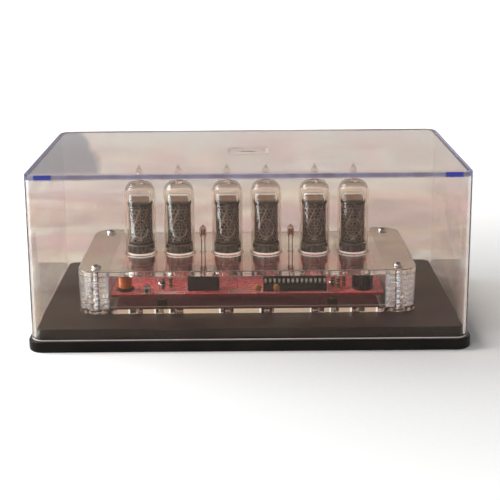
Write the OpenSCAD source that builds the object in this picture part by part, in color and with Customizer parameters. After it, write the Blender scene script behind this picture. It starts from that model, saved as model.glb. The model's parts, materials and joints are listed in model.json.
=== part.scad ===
// Nixie tube clock standing in a clear display case.
// Frame: millimetres, +Z up, the viewer's side is -Y, origin under the middle of the plinth.

/* [Display case] */
// Width of the plinth over its flange
plinth_w = 240; // [236:1:300]
// Depth of the plinth over its flange
plinth_d = 130; // [122:1:180]
// Thickness of the flange round the plinth
flange_h = 6; // [3:0.5:12]
// Height of the plateau above the flange
plateau_h = 6; // [3:0.5:12]
// Width of the flange outside the cover
cover_setback = 1.8; // [0.5:0.1:5]
// Height of the cover
cover_h = 91.5; // [86:0.5:140]
// Wall of the cover
cover_wall = 2; // [1:0.1:3]
// Radius of the cover's upright corners
cover_corner_r = 7; // [4:0.5:12]
// Gap between the plateau and the cover
cover_gap = 0.4; // [0.2:0.05:0.8]
// Width of the moulding recess in the cover's top
recess_w = 22.6; // [10:0.2:40]
// Depth of the moulding recess from front to rear
recess_d = 16; // [6:0.2:30]
// How far the moulding recess is sunk
recess_sink = 0.6; // [0.3:0.1:0.9]

/* [Clock body] */
// Gap between the outer tubes and the end stacks
end_clear = 6.3; // [5:0.1:10]
// Depth of the acrylic body at its ends
body_d = 88; // [84:1:100]
// Distance from the line of tubes to the front of the body
body_front = 37.6; // [36:0.2:45]
// Offset of the clock from the middle of the plinth
clock_x = -1.2; // [-4:0.1:4]
// Thickness of one acrylic sheet
sheet_t = 3.1; // [3:0.1:4]
// Width of the stack at each end
end_w = 17.7; // [16.5:0.1:18.5]
// Plan radius of the body's outer corners
body_corner_r = 10; // [6:0.5:14]
// How far the middle of the rear edge is set back
rear_setback = 8; // [4:0.5:9]

/* [Screws] */
// Distance of a stack screw from the body's end
screw_inset_x = 10.2; // [8:0.1:11]
// Distance of a stack screw from the front or rear
screw_inset_y = 8.2; // [6.5:0.1:10]
// Thread diameter of the stack screws
screw_d = 3; // [2.5:0.1:3.4]
// Head diameter of the stack screws
screw_head_d = 5.7; // [4.5:0.1:7]
// Head height of the stack screws
screw_head_h = 1.65; // [1:0.05:2.4]
// Size across the flats of the nuts
nut_flats = 5.5; // [5:0.1:6.5]
// Height of the nuts
nut_h = 2.4; // [1.6:0.1:2.8]
// Clearance hole radius minus thread radius
screw_play = 0.2; // [0.1:0.05:0.4]

/* [Circuit board] */
// Thickness of the circuit board
board_t = 1.6; // [0.8:0.1:2]
// Distance from the body's front to the board's front edge
board_inset = 2.6; // [1.5:0.1:2.8]
// Gap between the board and each end stack
board_gap = 0.8; // [0.4:0.1:2]
// Height of the stand-offs
standoff_h = 6; // [5:0.1:6.4]
// Diameter of the stand-offs
standoff_d = 6; // [5:0.1:8]
// Half the distance between the stand-offs from left to right
standoff_x = 49; // [46:0.5:52]

/* [Tubes] */
// Distance between the two tubes of a pair
pair_pitch = 22.6; // [20.5:0.1:24]
// Distance between neighbouring pairs
group_pitch = 50.7; // [49:0.1:53]
// Diameter of the glass
tube_d = 18; // [17:0.1:19]
// Length of the glass up to the top of its dome
bulb_len = 46.2; // [44:0.1:48]
// Length of the sealed pip above the dome
pip_len = 7.8; // [4:0.1:9]
// Diameter of the pip at its root
pip_d = 4.9; // [3.6:0.1:6]
// Wall of the glass
glass_wall = 0.9; // [0.6:0.05:1.1]
// Height of the dark stem inside the glass
stem_h = 9.4; // [6:0.1:10]
// Height of the wire numerals
numeral_h = 18; // [12:0.5:18.5]
// Width of the wire numerals
numeral_w = 9.2; // [6:0.1:9.6]
// Distance between neighbouring numerals in the stack
numeral_pitch = 0.8; // [0.6:0.05:0.85]
// Radius of the anode cage
cage_r = 6.7; // [6.4:0.05:7.2]
// Height of the anode cage
cage_h = 22; // [20.5:0.1:24]
// Number of lead wires under a tube
lead_count = 12; // [6:1:14]
// Diameter of the lead wires
lead_d = 0.6; // [0.4:0.05:0.8]

/* [Neon lamps] */
// Diameter of a neon lamp's glass
lamp_d = 4.1; // [3:0.1:5]
// Length of a neon lamp's glass
lamp_len = 7.6; // [6:0.1:9]
// Height of a lamp above the top plate
lamp_lift = 9; // [5:0.5:14]

/* [Components] */
// Length of the microcontroller
chip_len = 35.4; // [35.2:0.1:36.4]
// Width of the microcontroller's body
chip_w = 6.6; // [6:0.1:6.8]
// Pins on each side of the microcontroller
chip_pins = 14; // [4:1:14]
// Distance between neighbouring pins
pin_pitch = 2.54; // [2:0.01:2.54]
// Height of the chip socket
socket_h = 5; // [3:0.1:5.4]
// Diameter of the reservoir capacitor
reservoir_d = 12; // [8:0.1:13]
// Height of the reservoir capacitor
reservoir_h = 10.4; // [7:0.1:10.5]
// Width of the film capacitor
film_w = 17.9; // [12:0.1:20]
// Height of the film capacitor
film_h = 10.4; // [7:0.1:10.5]
// Diameter of the inductor's flanges
coil_flange_d = 9.4; // [8.4:0.1:9.8]
// Height of the inductor
coil_h = 10; // [7:0.1:10.4]
// Diameter of the winding wire
coil_wire_d = 0.7; // [0.5:0.05:0.8]
// Distance between the winding's turns
coil_pitch = 1.2; // [1.15:0.05:1.4]
// Whole turns in the winding
coil_turns = 5; // [3:1:5]

/* [Switches] */
// Width of a tactile switch
switch_w = 3.9; // [3.4:0.1:4.5]
// Height of a tactile switch
switch_h = 4.4; // [3.8:0.1:5]
// Diameter of a switch plunger
plunger_d = 1.8; // [1.2:0.1:2.2]
// How far a plunger travels
plunger_travel = 0.25; // [0.1:0.05:0.4]
// Gap round a plunger
plunger_gap = 0.15; // [0.1:0.05:0.25]

/* [Hidden] */
$fn = 64;
LAYERS = 6;
TUBES = 6;

// Heights of the layers, from the plinth up.
plinth_h = flange_h + plateau_h;
spacer_z = plinth_h + sheet_t;
top_plate_z = spacer_z + LAYERS * sheet_t;
body_top = top_plate_z + sheet_t;
board_z = spacer_z + standoff_h;
board_top = board_z + board_t;

// Plan of the case and of the body. The tubes stand on the line y = 0.
board_rear_inset = 2.4;
standoff_front = 17;
standoff_rear = 7;
cover_w = plinth_w - 2 * cover_setback;
cover_d = plinth_d - 2 * cover_setback;
plateau_w = cover_w - 2 * (cover_wall + cover_gap);
plateau_d = cover_d - 2 * (cover_wall + cover_gap);
plateau_r = cover_corner_r - cover_wall - cover_gap;
flange_r = cover_corner_r + cover_setback;
body_y = body_d / 2 - body_front;
body_rear = body_d - body_front;
window_w = 2 * (group_pitch + pair_pitch / 2 + tube_d / 2 + end_clear);
body_w = window_w + 2 * end_w;
board_front = -body_front + board_inset;
board_w = window_w - 2 * board_gap;
board_rear = body_rear - rear_setback - board_rear_inset;
board_d = board_rear - board_front;
stack_screw_at = [for (sx = [-1, 1], y = [-body_front + screw_inset_y, body_rear - screw_inset_y])
    [sx * (body_w / 2 - screw_inset_x), y]];
standoff_at = [for (sx = [-1, 1], y = [board_front + standoff_front, board_rear - standoff_rear])
    [sx * standoff_x, y]];

// Small parts of the screws and stand-offs.
screw_end_gap = 0.4;
hex_socket_flats = 2;
hex_socket_sink = 1;
nut_play = 0.15;
thread_play = 0.05;
board_screw_d = 2.9;
board_screw_head_d = 5.4;
board_screw_head_h = 1.9;
countersink_h = 1.5;
board_screw_reach = 2.6;

// Tubes.
tube_x = [for (g = [-1, 0, 1], s = [-1, 1]) g * group_pitch + s * pair_pitch / 2];
tube_play = 0.35;
tube_foot = top_plate_z + 0.3;
tube_r = tube_d / 2;
dome_h = 7.2;
dome_flat_r = pip_d / 2;
stem_gap = 0.1;
stem_r = tube_r - glass_wall - stem_gap;
stem_top = tube_foot + stem_h;
lead_circle_r = 5.5;
cage_rods = 10;
cage_rod_r = 0.3;
cage_ring_t = 0.7;
cage_ring_h = 0.8;
mica_r = 7.4;
mica_t = 0.6;
bracket_h = 6.2;
bracket_w = 8.4;
bracket_t = 0.5;
bracket_d = 3;
numeral_z = stem_top + cage_h / 2;
numeral_t = 0.35;
stroke_w = 0.55;
support_r = 0.3;
support_gap = 0.3;
support_z = numeral_h / 2 + 0.55;

// Neon lamps stand midway between the pairs, a little outward.
lamp_x = group_pitch / 2 + 0.3;
lamp_z = body_top + lamp_lift;
lamp_leg_x = 1;
lamp_leg_d = 0.5;
lamp_hole_d = 3.4;

// Places of the components: a share of the board's width from the middle of the clock, and a
// distance from the board's front edge or from its rear edge.
function from_front(share, y) = [share * board_w, board_front + y];
function from_rear(share, y) = [share * board_w, board_rear - y];
chip_at = from_front(0.176, 7.7);
row_w = 7.62;
socket_over = 2.6;
chip_lift = 0.5;
chip_body_h = 3.3;
chip_pin_t = 0.3;
driver_at = from_rear(0.013, 18);
driver_len = 19.3;
film_at = from_front(-0.161, 8.8);
film_d = 9;
reservoir_at = from_front(0.427, 8.6);
coil_at = from_front(-0.451, 8.4);
coil_flange_h = 1.4;
coil_core_gap = 0.1;
coil_lead_r = coil_flange_d / 2 + coil_wire_d / 2 + 0.25;
disc_at = [from_front(0.039, 1.4), from_front(0.108, 1.4)];
disc_d = 3.7;
disc_t = 1.5;
disc_lift = 1.2;
disc_leg_x = 1.1;
part_leg_d = 0.5;
blue_at = from_front(-0.311, 7.6);
tan_at = [from_front(-0.284, 9.6), from_front(0.318, 10), from_front(0.337, 8), from_front(0.358, 10.4)];
resistor_d = 2.3;
resistor_len = 6.2;
resistor_lift = 0.4;
loop_r = 1.3;
transistor_at = from_rear(-0.418, 18);
crystal_at = from_front(0.176, 22);
inlet_w = 9;
inlet_len = 13;
inlet_h = 10.4;
inlet_inset = 1.9;
inlet_at = from_rear(0.379, inlet_len / 2 + inlet_inset);
inlet_bore_d = 6.3;
inlet_bore_len = 9;
inlet_pin_d = 2;
set_at = -0.3673 * board_w;
adjust_at = 0.1307 * board_w;
switch_depth = 2.4;
switch_edge = 0.4;
plunger_stick = 1;
plunger_len = 2.4;
rivet_d = 0.7;
rivet_h = 0.15;

// A slab with round upright corners, standing on z = 0 with its middle on the axis.
module rounded_slab(w, d, h, r) {
    translate([-w / 2 + r, -d / 2, 0]) cube([w - 2 * r, d, h]);
    translate([-w / 2, -d / 2 + r, 0]) cube([w, d - 2 * r, h]);
    for (sx = [-1, 1], sy = [-1, 1])
        translate([sx * (w / 2 - r), sy * (d / 2 - r), 0]) cylinder(r = r, h = h);
}

// A bar of square section with its middle at [x, y].
module post(x, y, z, w, d, h) {
    translate([x - w / 2, y - d / 2, z]) cube([w, d, h]);
}

module hexagon(flats, h) {
    rotate([0, 0, 30]) cylinder(d = flats / cos(30), h = h, $fn = 6);
}

module on_clock() {
    translate([clock_x, 0, 0]) children();
}

// ---- Display case ----

module plinth() {
    color([0.14, 0.11, 0.1]) {
        rounded_slab(plinth_w, plinth_d, flange_h, flange_r);
        rounded_slab(plateau_w, plateau_d, plinth_h, plateau_r);
    }
}

module display_cover() {
    inner_r = cover_corner_r - cover_wall;
    color([0.8, 0.85, 0.95, 0.25]) translate([0, 0, flange_h]) difference() {
        rounded_slab(cover_w, cover_d, cover_h, cover_corner_r);
        translate([0, 0, -1])
            rounded_slab(cover_w - 2 * cover_wall, cover_d - 2 * cover_wall,
                cover_h - cover_wall + 1, inner_r);
        translate([0, -1, cover_h - recess_sink]) rounded_slab(recess_w, recess_d, 1, 1);
    }
}

// ---- Acrylic body ----

// Plan of one whole sheet: round outer corners and a rear edge that is set back between the ends.
module sheet(z) {
    on_clock() translate([0, body_y, z]) difference() {
        rounded_slab(body_w, body_d, sheet_t, body_corner_r);
        translate([-window_w / 2, body_d / 2 - rear_setback, -1]) cube([window_w, rear_setback + 1, sheet_t + 2]);
    }
}

module stack_holes(z) {
    on_clock() for (p = stack_screw_at)
        translate([p[0], p[1], z - 1]) cylinder(d = screw_d + 2 * screw_play, h = sheet_t + 2);
}

module bottom_plate() {
    color([0.85, 0.87, 0.88, 0.5]) difference() {
        sheet(plinth_h);
        on_clock() for (p = stack_screw_at)
            translate([p[0], p[1], plinth_h - 1]) hexagon(nut_flats + 2 * nut_play, sheet_t + 2);
        on_clock() for (p = standoff_at) translate([p[0], p[1], plinth_h]) {
            translate([0, 0, -1]) cylinder(d = board_screw_d + 2 * screw_play, h = sheet_t + 2);
            translate([0, 0, -1]) cylinder(d = board_screw_head_d + 2 * screw_play, h = countersink_h + 1);
        }
        on_clock() for (x = tube_x)
            translate([x, 0, plinth_h - 1]) cylinder(d = 6, h = sheet_t + 2);
    }
}

module top_plate() {
    color([0.85, 0.87, 0.88, 0.5]) difference() {
        sheet(top_plate_z);
        stack_holes(top_plate_z);
        on_clock() for (x = tube_x)
            translate([x, 0, top_plate_z - 1]) cylinder(d = tube_d + 2 * tube_play, h = sheet_t + 2);
        on_clock() for (s = [-1, 1])
            translate([s * lamp_x, 0, top_plate_z - 1]) cylinder(d = lamp_hole_d, h = sheet_t + 2);
    }
}

// The left and the right spacer of one layer.
module end_layer(i) {
    z = spacer_z + (i - 1) * sheet_t;
    color([0.85, 0.87, 0.88, 0.5]) difference() {
        on_clock() translate([0, body_y, z]) rounded_slab(body_w, body_d, sheet_t, body_corner_r);
        on_clock() translate([-window_w / 2, -body_front - 1, z - 1]) cube([window_w, body_d + 2, sheet_t + 2]);
        stack_holes(z);
    }
}

module stack_screws() {
    reach = body_top - plinth_h - screw_end_gap;
    dome_r = (pow(screw_head_d / 2, 2) + pow(screw_head_h, 2)) / (2 * screw_head_h);
    color([0.7, 0.71, 0.72]) on_clock() for (p = stack_screw_at) translate([p[0], p[1], body_top]) {
        translate([0, 0, -reach]) cylinder(d = screw_d, h = reach);
        difference() {
            intersection() {
                translate([0, 0, screw_head_h - dome_r]) sphere(r = dome_r);
                cylinder(d = screw_head_d + 1, h = screw_head_h);
            }
            translate([0, 0, screw_head_h - hex_socket_sink]) hexagon(hex_socket_flats, hex_socket_sink + 1);
        }
    }
}

module stack_nuts() {
    color([0.7, 0.71, 0.72]) on_clock() for (p = stack_screw_at)
        translate([p[0], p[1], spacer_z - nut_h]) difference() {
            hexagon(nut_flats, nut_h);
            translate([0, 0, -1]) cylinder(d = screw_d + 2 * thread_play, h = nut_h + 2);
        }
}

// ---- Circuit board and what carries it ----

module board_standoffs() {
    color([0.75, 0.72, 0.6]) on_clock() for (p = standoff_at) translate([p[0], p[1], spacer_z]) difference() {
        cylinder(d = standoff_d, h = standoff_h);
        translate([0, 0, -1]) cylinder(d = board_screw_d + 2 * thread_play, h = standoff_h + 2);
    }
}

module board_screws() {
    color([0.7, 0.71, 0.72]) on_clock() for (p = standoff_at) translate([p[0], p[1], 0]) {
        translate([0, 0, board_top]) cylinder(d = board_screw_head_d, h = board_screw_head_h);
        translate([0, 0, board_z - board_screw_reach]) cylinder(d = board_screw_d, h = board_screw_reach + board_t);
        translate([0, 0, plinth_h + 0.1]) cylinder(d = board_screw_head_d, h = countersink_h - 0.1);
        translate([0, 0, plinth_h + countersink_h])
            cylinder(d = board_screw_d, h = sheet_t - countersink_h + board_screw_reach);
    }
}

module circuit_board() {
    color([0.6, 0.14, 0.17]) on_clock() difference() {
        translate([-board_w / 2, board_front, board_z]) cube([board_w, board_d, board_t]);
        for (p = standoff_at)
            translate([p[0], p[1], board_z - 1]) cylinder(d = board_screw_d + 2 * screw_play, h = board_t + 2);
    }
}

// ---- Nixie tubes ----

// Half outline of the glass: a wall of radius r up to the dome, a dome of height dh that closes to
// the radius flat_r, all on the axis.
function glass_outline(r, straight, dh, flat_r) = concat(
    [[r, 0]],
    [for (a = [0:9:90]) [flat_r + (r - flat_r) * cos(a), straight + dh * sin(a)]]);

module tube_glass(i) {
    straight = bulb_len - dome_h;
    inner_r = tube_r - glass_wall;
    color([0.75, 0.8, 0.85, 0.35]) on_clock() translate([tube_x[i - 1], 0, tube_foot]) difference() {
        union() {
            rotate_extrude()
                polygon(concat([[0, 0]], glass_outline(tube_r, straight, dome_h, dome_flat_r), [[0, bulb_len]]));
            translate([0, 0, bulb_len - 0.5]) cylinder(d1 = pip_d, d2 = pip_d * 0.55, h = pip_len * 0.62 + 0.5);
            translate([0, 0, bulb_len + pip_len * 0.62])
                cylinder(d1 = pip_d * 0.55, d2 = pip_d * 0.2, h = pip_len * 0.38);
        }
        translate([0, 0, -1]) cylinder(r = inner_r, h = straight + 1);
        translate([0, 0, straight]) rotate_extrude()
            polygon(concat([[0, 0]], glass_outline(inner_r, 0, dome_h - glass_wall, 1), [[0, dome_h - glass_wall]]));
    }
}

// The dark stem that closes the glass, with its ring of lead wires down to the board.
module tube_stem(i) {
    color([0.2, 0.22, 0.27]) on_clock() translate([tube_x[i - 1], 0, 0]) {
        translate([0, 0, tube_foot]) cylinder(r = stem_r, h = stem_h);
        for (k = [0:lead_count - 1]) rotate([0, 0, (k + 0.5) * 360 / lead_count])
            translate([lead_circle_r, 0, board_top]) cylinder(d = lead_d, h = tube_foot - board_top);
    }
}

module ring(r, t, h) {
    difference() {
        cylinder(r = r + t / 2, h = h);
        translate([0, 0, -1]) cylinder(r = r - t / 2, h = h + 2);
    }
}

// Cage of rods between two rings, a mica disc on top and a bracket above it.
module tube_anode_cage(i) {
    color([0.55, 0.53, 0.5]) on_clock() translate([tube_x[i - 1], 0, stem_top]) {
        ring(cage_r, cage_ring_t, cage_ring_h);
        translate([0, 0, cage_h - cage_ring_h]) ring(cage_r, cage_ring_t, cage_ring_h);
        for (k = [0:cage_rods - 1]) rotate([0, 0, (k + 0.5) * 360 / cage_rods])
            translate([cage_r, 0, cage_ring_h]) cylinder(r = cage_rod_r, h = cage_h - 2 * cage_ring_h);
        translate([0, 0, cage_h]) cylinder(r = mica_r, h = mica_t);
        translate([0, 0, cage_h + mica_t]) difference() {
            translate([-bracket_w / 2, -bracket_d / 2, 0]) cube([bracket_w, bracket_d, bracket_h]);
            translate([-bracket_w / 2 + bracket_t, -bracket_d, -1])
                cube([bracket_w - 2 * bracket_t, 2 * bracket_d, bracket_h - bracket_t + 1]);
        }
    }
}

// Strokes of the numerals in a box from -1 to 1 each way. A stroke is a list of points.
function arc(cx, cz, rx, rz, from, to) =
    [for (s = [0:8]) let(a = from + (to - from) * s / 8) [cx + rx * cos(a), cz + rz * sin(a)]];
STROKES = [
    [arc(0, 0, 1, 1, 0, 180), arc(0, 0, 1, 1, 180, 360)],
    [[[0, -1], [0, 1]], [[0, 1], [-0.5, 0.6]]],
    [arc(0, 0.45, 1, 0.55, 170, -40), [[0.77, 0.12], [-0.95, -1]], [[-1, -1], [1, -1]]],
    [arc(0, 0.5, 0.9, 0.5, 150, -90), arc(0, -0.5, 1, 0.5, 90, -150)],
    [[[0, -1], [0, 1]], [[0, 1], [-1, -0.4]], [[-1, -0.4], [1, -0.4]]],
    [[[0.9, 1], [-0.8, 1]], [[-0.8, 1], [-0.85, 0.1]], arc(0, -0.4, 1, 0.6, 140, -150)],
    [arc(0, -0.4, 1, 0.6, 0, 180), arc(0, -0.4, 1, 0.6, 180, 360), arc(0.2, -0.3, 1.2, 1.3, 180, 80)],
    [[[-1, 1], [1, 1]], [[1, 1], [0, -1]]],
    [arc(0, 0.5, 0.85, 0.5, 0, 180), arc(0, 0.5, 0.85, 0.5, 180, 360),
     arc(0, -0.5, 1, 0.5, 0, 180), arc(0, -0.5, 1, 0.5, 180, 360)],
    [arc(0, 0.4, 1, 0.6, 0, 180), arc(0, 0.4, 1, 0.6, 180, 360), arc(-0.2, 0.3, 1.2, 1.3, 0, -100)]];

function unit(v) = v / norm(v);
function side(v) = [-v[1], v[0]];
// Normal of the stroke p at its point k, from its neighbours.
function stroke_normal(p, k) = side(unit(p[min(k + 1, len(p) - 1)] - p[max(k - 1, 0)]));
function ribbon(p, w) = concat(
    [for (k = [0:len(p) - 1]) p[k] + stroke_normal(p, k) * w / 2],
    [for (k = [len(p) - 1:-1:0]) p[k] - stroke_normal(p, k) * w / 2]);

// One stroke as a thin upright ribbon, round at both ends.
module stroke(p) {
    half = [(numeral_w - stroke_w) / 2, (numeral_h - stroke_w) / 2];
    q = [for (v = p) [v[0] * half[0], v[1] * half[1]]];
    rotate([90, 0, 0]) translate([0, 0, -numeral_t / 2]) {
        linear_extrude(height = numeral_t) polygon(ribbon(q, stroke_w));
        for (e = [q[0], q[len(q) - 1]]) translate([e[0], e[1], 0]) cylinder(d = stroke_w, h = numeral_t);
    }
}

// Ten numerals one behind the other, held by tabs on two rods that run through the stack.
module tube_numerals(i) {
    rod_len = 2 * (cage_r - cage_ring_t / 2 - support_gap);
    color([0.75, 0.7, 0.62]) on_clock() translate([tube_x[i - 1], 0, numeral_z]) {
        for (n = [0:9]) translate([0, (n - 4.5) * numeral_pitch, 0]) {
            for (p = STROKES[n]) stroke(p);
            for (s = [-1, 1]) post(0, 0, s > 0 ? numeral_h / 2 - stroke_w : -support_z, stroke_w, numeral_t,
                support_z - numeral_h / 2 + stroke_w);
        }
        for (s = [-1, 1]) translate([0, rod_len / 2, s * support_z]) rotate([90, 0, 0])
            cylinder(r = support_r, h = rod_len);
    }
}

// ---- Neon lamps ----

module neon_lamp_bulbs() {
    r = lamp_d / 2;
    color([0.8, 0.6, 0.5, 0.6]) on_clock() for (s = [-1, 1]) translate([s * lamp_x, 0, lamp_z]) {
        cylinder(r = r, h = lamp_len - r);
        translate([0, 0, lamp_len - r]) sphere(r = r);
    }
}

module neon_lamp_leads() {
    color([0.75, 0.72, 0.68]) on_clock() for (s = [-1, 1], t = [-1, 1])
        translate([s * lamp_x + t * lamp_leg_x, 0, board_top]) cylinder(d = lamp_leg_d, h = lamp_z - board_top);
}

// ---- Parts on the board ----

module on_board(at) {
    on_clock() translate([at[0], at[1], board_top]) children();
}

// A chip with its body lifted on two rows of bent pins, whose feet stand on z = 0.
module dual_row_chip(length, pins, foot) {
    step = pin_pitch;
    shoulder = foot + chip_lift + chip_body_h / 2;
    translate([-length / 2, -chip_w / 2, foot + chip_lift]) cube([length, chip_w, chip_body_h]);
    for (k = [0:pins - 1], s = [-1, 1]) translate([(k - (pins - 1) / 2) * step, 0, 0]) {
        post(0, s * (chip_w / 2 + row_w / 2 + chip_pin_t) / 2, shoulder - chip_pin_t,
            1.4, row_w / 2 + chip_pin_t - chip_w / 2, chip_pin_t);
        post(0, s * (row_w / 2 + chip_pin_t / 2), foot, 1.4, chip_pin_t, shoulder - foot);
    }
}

module microcontroller() {
    color([0.16, 0.13, 0.13]) on_board(chip_at) dual_row_chip(chip_len, chip_pins, socket_h);
}

module chip_socket() {
    color([0.12, 0.1, 0.1]) on_board(chip_at) difference() {
        post(0, 0, 0, chip_len + 0.2, row_w + socket_over, socket_h);
        post(0, 0, 1.5, chip_len - 4, row_w - 2.6, socket_h);
    }
}

module cathode_driver() {
    color([0.16, 0.13, 0.13]) on_board(driver_at) dual_row_chip(driver_len, 7, 0);
}

module film_capacitor() {
    color([0.15, 0.13, 0.13]) on_board(film_at) translate([0, 0, film_h / 2]) rotate([90, 0, 0])
        translate([0, 0, -film_d / 2]) rounded_slab(film_w, film_h, film_d, 0.8);
}

module reservoir_capacitor() {
    color([0.13, 0.12, 0.13]) on_board(reservoir_at) {
        cylinder(d = reservoir_d, h = 1.2);
        translate([0, 0, 1.2]) cylinder(d = reservoir_d - 0.8, h = 0.8);
        translate([0, 0, 2]) cylinder(d = reservoir_d, h = reservoir_h - 2);
    }
}

coil_r = coil_flange_d / 2 - coil_wire_d / 2 - 0.7;
coil_core_r = coil_r - coil_wire_d / 2 - coil_core_gap;
coil_rise = coil_turns * coil_pitch;
coil_low = coil_flange_h + coil_wire_d / 2 + 0.25;

module inductor_core() {
    color([0.2, 0.17, 0.16]) on_board(coil_at) {
        cylinder(d = coil_flange_d, h = coil_flange_h);
        cylinder(r = coil_core_r, h = coil_h);
        translate([0, 0, coil_h - coil_flange_h]) cylinder(d = coil_flange_d, h = coil_flange_h);
    }
}

// Route of the winding: up from the board, a quarter turn in onto the core, the turns, a quarter
// turn out again and down to the board.
function polar(r, a, z) = [r * cos(a), r * sin(a), z];
function spiral_r(t) = coil_lead_r + (coil_r - coil_lead_r) * (1 - cos(180 * t)) / 2;
coil_bend = 0.9;
bend_turn = coil_bend / coil_lead_r * 180 / PI;
// Points of a rising lead that ends in a level run at the azimuth a, for the turning sense s.
function lead_points(a, z, s) = concat(
    [polar(coil_lead_r, a - s * bend_turn, 0), polar(coil_lead_r, a - s * bend_turn, coil_wire_d)],
    [for (b = [0:30:60]) polar(coil_lead_r, a - s * bend_turn * cos(b), z - coil_bend * (1 - sin(b)))],
    [for (t = [0:0.2:0.99]) polar(spiral_r(t), a + s * 90 * t, z)]);
function reversed(v) = [for (k = [len(v) - 1:-1:0]) v[k]];
turn_points = [for (k = [0:coil_turns * 24])
    polar(coil_r, -90 + k * 15, coil_low + coil_rise * k / (coil_turns * 24))];
winding_route = concat(
    lead_points(-180, coil_low, 1),
    turn_points,
    reversed(lead_points(0, coil_low + coil_rise, -1)));

// Least distance between points of the route that are more than half a turn apart.
winding_gap = min([for (i = [0:len(winding_route) - 13], j = [i + 12:len(winding_route) - 1])
    norm(winding_route[i] - winding_route[j])]) - coil_wire_d;
echo(least_gap_of_winding = winding_gap);

function route_tangent(p, k) = unit(p[min(k + 1, len(p) - 1)] - p[max(k - 1, 0)]);
// Rings of the sweep: one side points outward from the coil's axis.
function sweep_ring(p, k, r, sides) = let(
    t = route_tangent(p, k),
    out0 = unit([p[k][0], p[k][1], 0]),
    out = unit(out0 - t * (out0 * t)),
    up = cross(t, out))
    [for (m = [0:sides - 1]) p[k] + r * (cos(360 * m / sides) * out + sin(360 * m / sides) * up)];

module sweep(p, r, sides) {
    n = len(p);
    points = [for (k = [0:n - 1]) each sweep_ring(p, k, r, sides)];
    walls = [for (k = [0:n - 2], m = [0:sides - 1]) let(
        a = k * sides + m,
        b = k * sides + (m + 1) % sides)
        each [[a, b, b + sides], [a, b + sides, a + sides]]];
    caps = [for (m = [1:sides - 2]) each [[0, m + 1, m],
        [(n - 1) * sides, (n - 1) * sides + m, (n - 1) * sides + m + 1]]];
    polyhedron(points = points, faces = [for (f = concat(walls, caps)) [f[0], f[2], f[1]]]);
}

module inductor_winding() {
    color([0.8, 0.4, 0.24]) on_board(coil_at) sweep(winding_route, coil_wire_d / 2, 6);
}

module disc_capacitors() {
    color([0.75, 0.5, 0.22]) for (at = disc_at) on_board(at) {
        translate([0, disc_t / 2, disc_lift + disc_d / 2]) rotate([90, 0, 0]) cylinder(d = disc_d, h = disc_t);
        for (s = [-1, 1]) translate([s * disc_leg_x, 0, 0]) cylinder(d = part_leg_d, h = disc_lift + disc_d / 3);
    }
}

// A resistor standing on one lead, with the other looped over its top and down beside it.
module standing_resistor(way) {
    top = resistor_lift + resistor_len;
    cylinder(d = part_leg_d, h = resistor_lift);
    translate([0, 0, resistor_lift]) cylinder(d = resistor_d, h = resistor_len);
    translate([way * loop_r, 0, top]) rotate([90, 0, 0]) rotate_extrude(angle = 180)
        translate([loop_r, 0]) circle(d = part_leg_d);
    translate([way * 2 * loop_r, 0, 0]) cylinder(d = part_leg_d, h = top);
}

module blue_resistor() {
    color([0.35, 0.45, 0.6]) on_board(blue_at) standing_resistor(-1);
}

module tan_resistors() {
    color([0.7, 0.6, 0.45]) for (at = tan_at) on_board(at) rotate([0, 0, 90]) standing_resistor(1);
}

// A flat package lying on the board, with its tab and three legs.
module power_transistor() {
    color([0.18, 0.17, 0.17]) on_board(transistor_at) {
        translate([-5, -4.5, 1.3]) cube([10, 9, 3.2]);
        difference() {
            translate([-5, -4.5, 0]) cube([10, 15.4, 1.3]);
            translate([0, 7.8, -1]) cylinder(d = 3.6, h = 4);
        }
        for (k = [-1:1]) {
            post(k * 2.54, -7, 1.6, 0.9, 5, 0.5);
            post(k * 2.54, -9.25, 0, 0.9, 0.5, 2.1);
        }
    }
}

module timing_crystal() {
    color([0.78, 0.78, 0.78]) on_board(crystal_at) {
        rounded_slab(11, 4.6, 0.5, 2.2);
        translate([0, 0, 0.5]) rounded_slab(10.2, 3.8, 3, 1.8);
    }
}

// Barrel socket that opens to the rear, with its pin.
module power_inlet() {
    color([0.1, 0.1, 0.1]) on_board(inlet_at) {
        difference() {
            post(0, 0, 0, inlet_w, inlet_len, inlet_h);
            translate([0, inlet_len / 2 - inlet_bore_len, inlet_h / 2]) rotate([-90, 0, 0])
                cylinder(d = inlet_bore_d, h = inlet_bore_len + 1);
        }
        translate([0, inlet_len / 2 - inlet_bore_len - 0.5, inlet_h / 2]) rotate([-90, 0, 0])
            cylinder(d = inlet_pin_d, h = inlet_bore_len - 0.5);
    }
}

// ---- Setting switches ----

// Places a switch on the board's edge: the plunger's axis runs along -y from the face at y = 0.
module at_front_switch() {
    on_clock() translate([set_at, board_front + switch_edge, board_top]) children();
}

module at_rear_switch() {
    on_clock() translate([adjust_at, board_rear - switch_edge, board_top]) rotate([0, 0, 180]) children();
}

module switch_body() {
    difference() {
        translate([-switch_w / 2, 0, 0]) cube([switch_w, switch_depth, switch_h]);
        translate([0, -1, switch_h / 2]) rotate([-90, 0, 0])
            cylinder(d = plunger_d + 2 * plunger_gap, h = 1 + plunger_len - plunger_stick + plunger_travel + 0.15);
    }
    for (sx = [-1, 1], sz = [-1, 1])
        translate([sx * (switch_w / 2 - 0.6), 0, switch_h / 2 + sz * (switch_h / 2 - 0.6)])
            rotate([90, 0, 0]) cylinder(d = rivet_d, h = rivet_h);
}

module switch_plunger() {
    translate([0, -plunger_stick, switch_h / 2]) rotate([-90, 0, 0]) cylinder(d = plunger_d, h = plunger_len);
}

module set_switch_body() {
    color([0.7, 0.68, 0.66]) at_front_switch() switch_body();
}

module set_button() {
    color([0.12, 0.12, 0.12]) at_front_switch() switch_plunger();
}

module adjust_switch_body() {
    color([0.7, 0.68, 0.66]) at_rear_switch() switch_body();
}

module adjust_button() {
    color([0.12, 0.12, 0.12]) at_rear_switch() switch_plunger();
}

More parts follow.
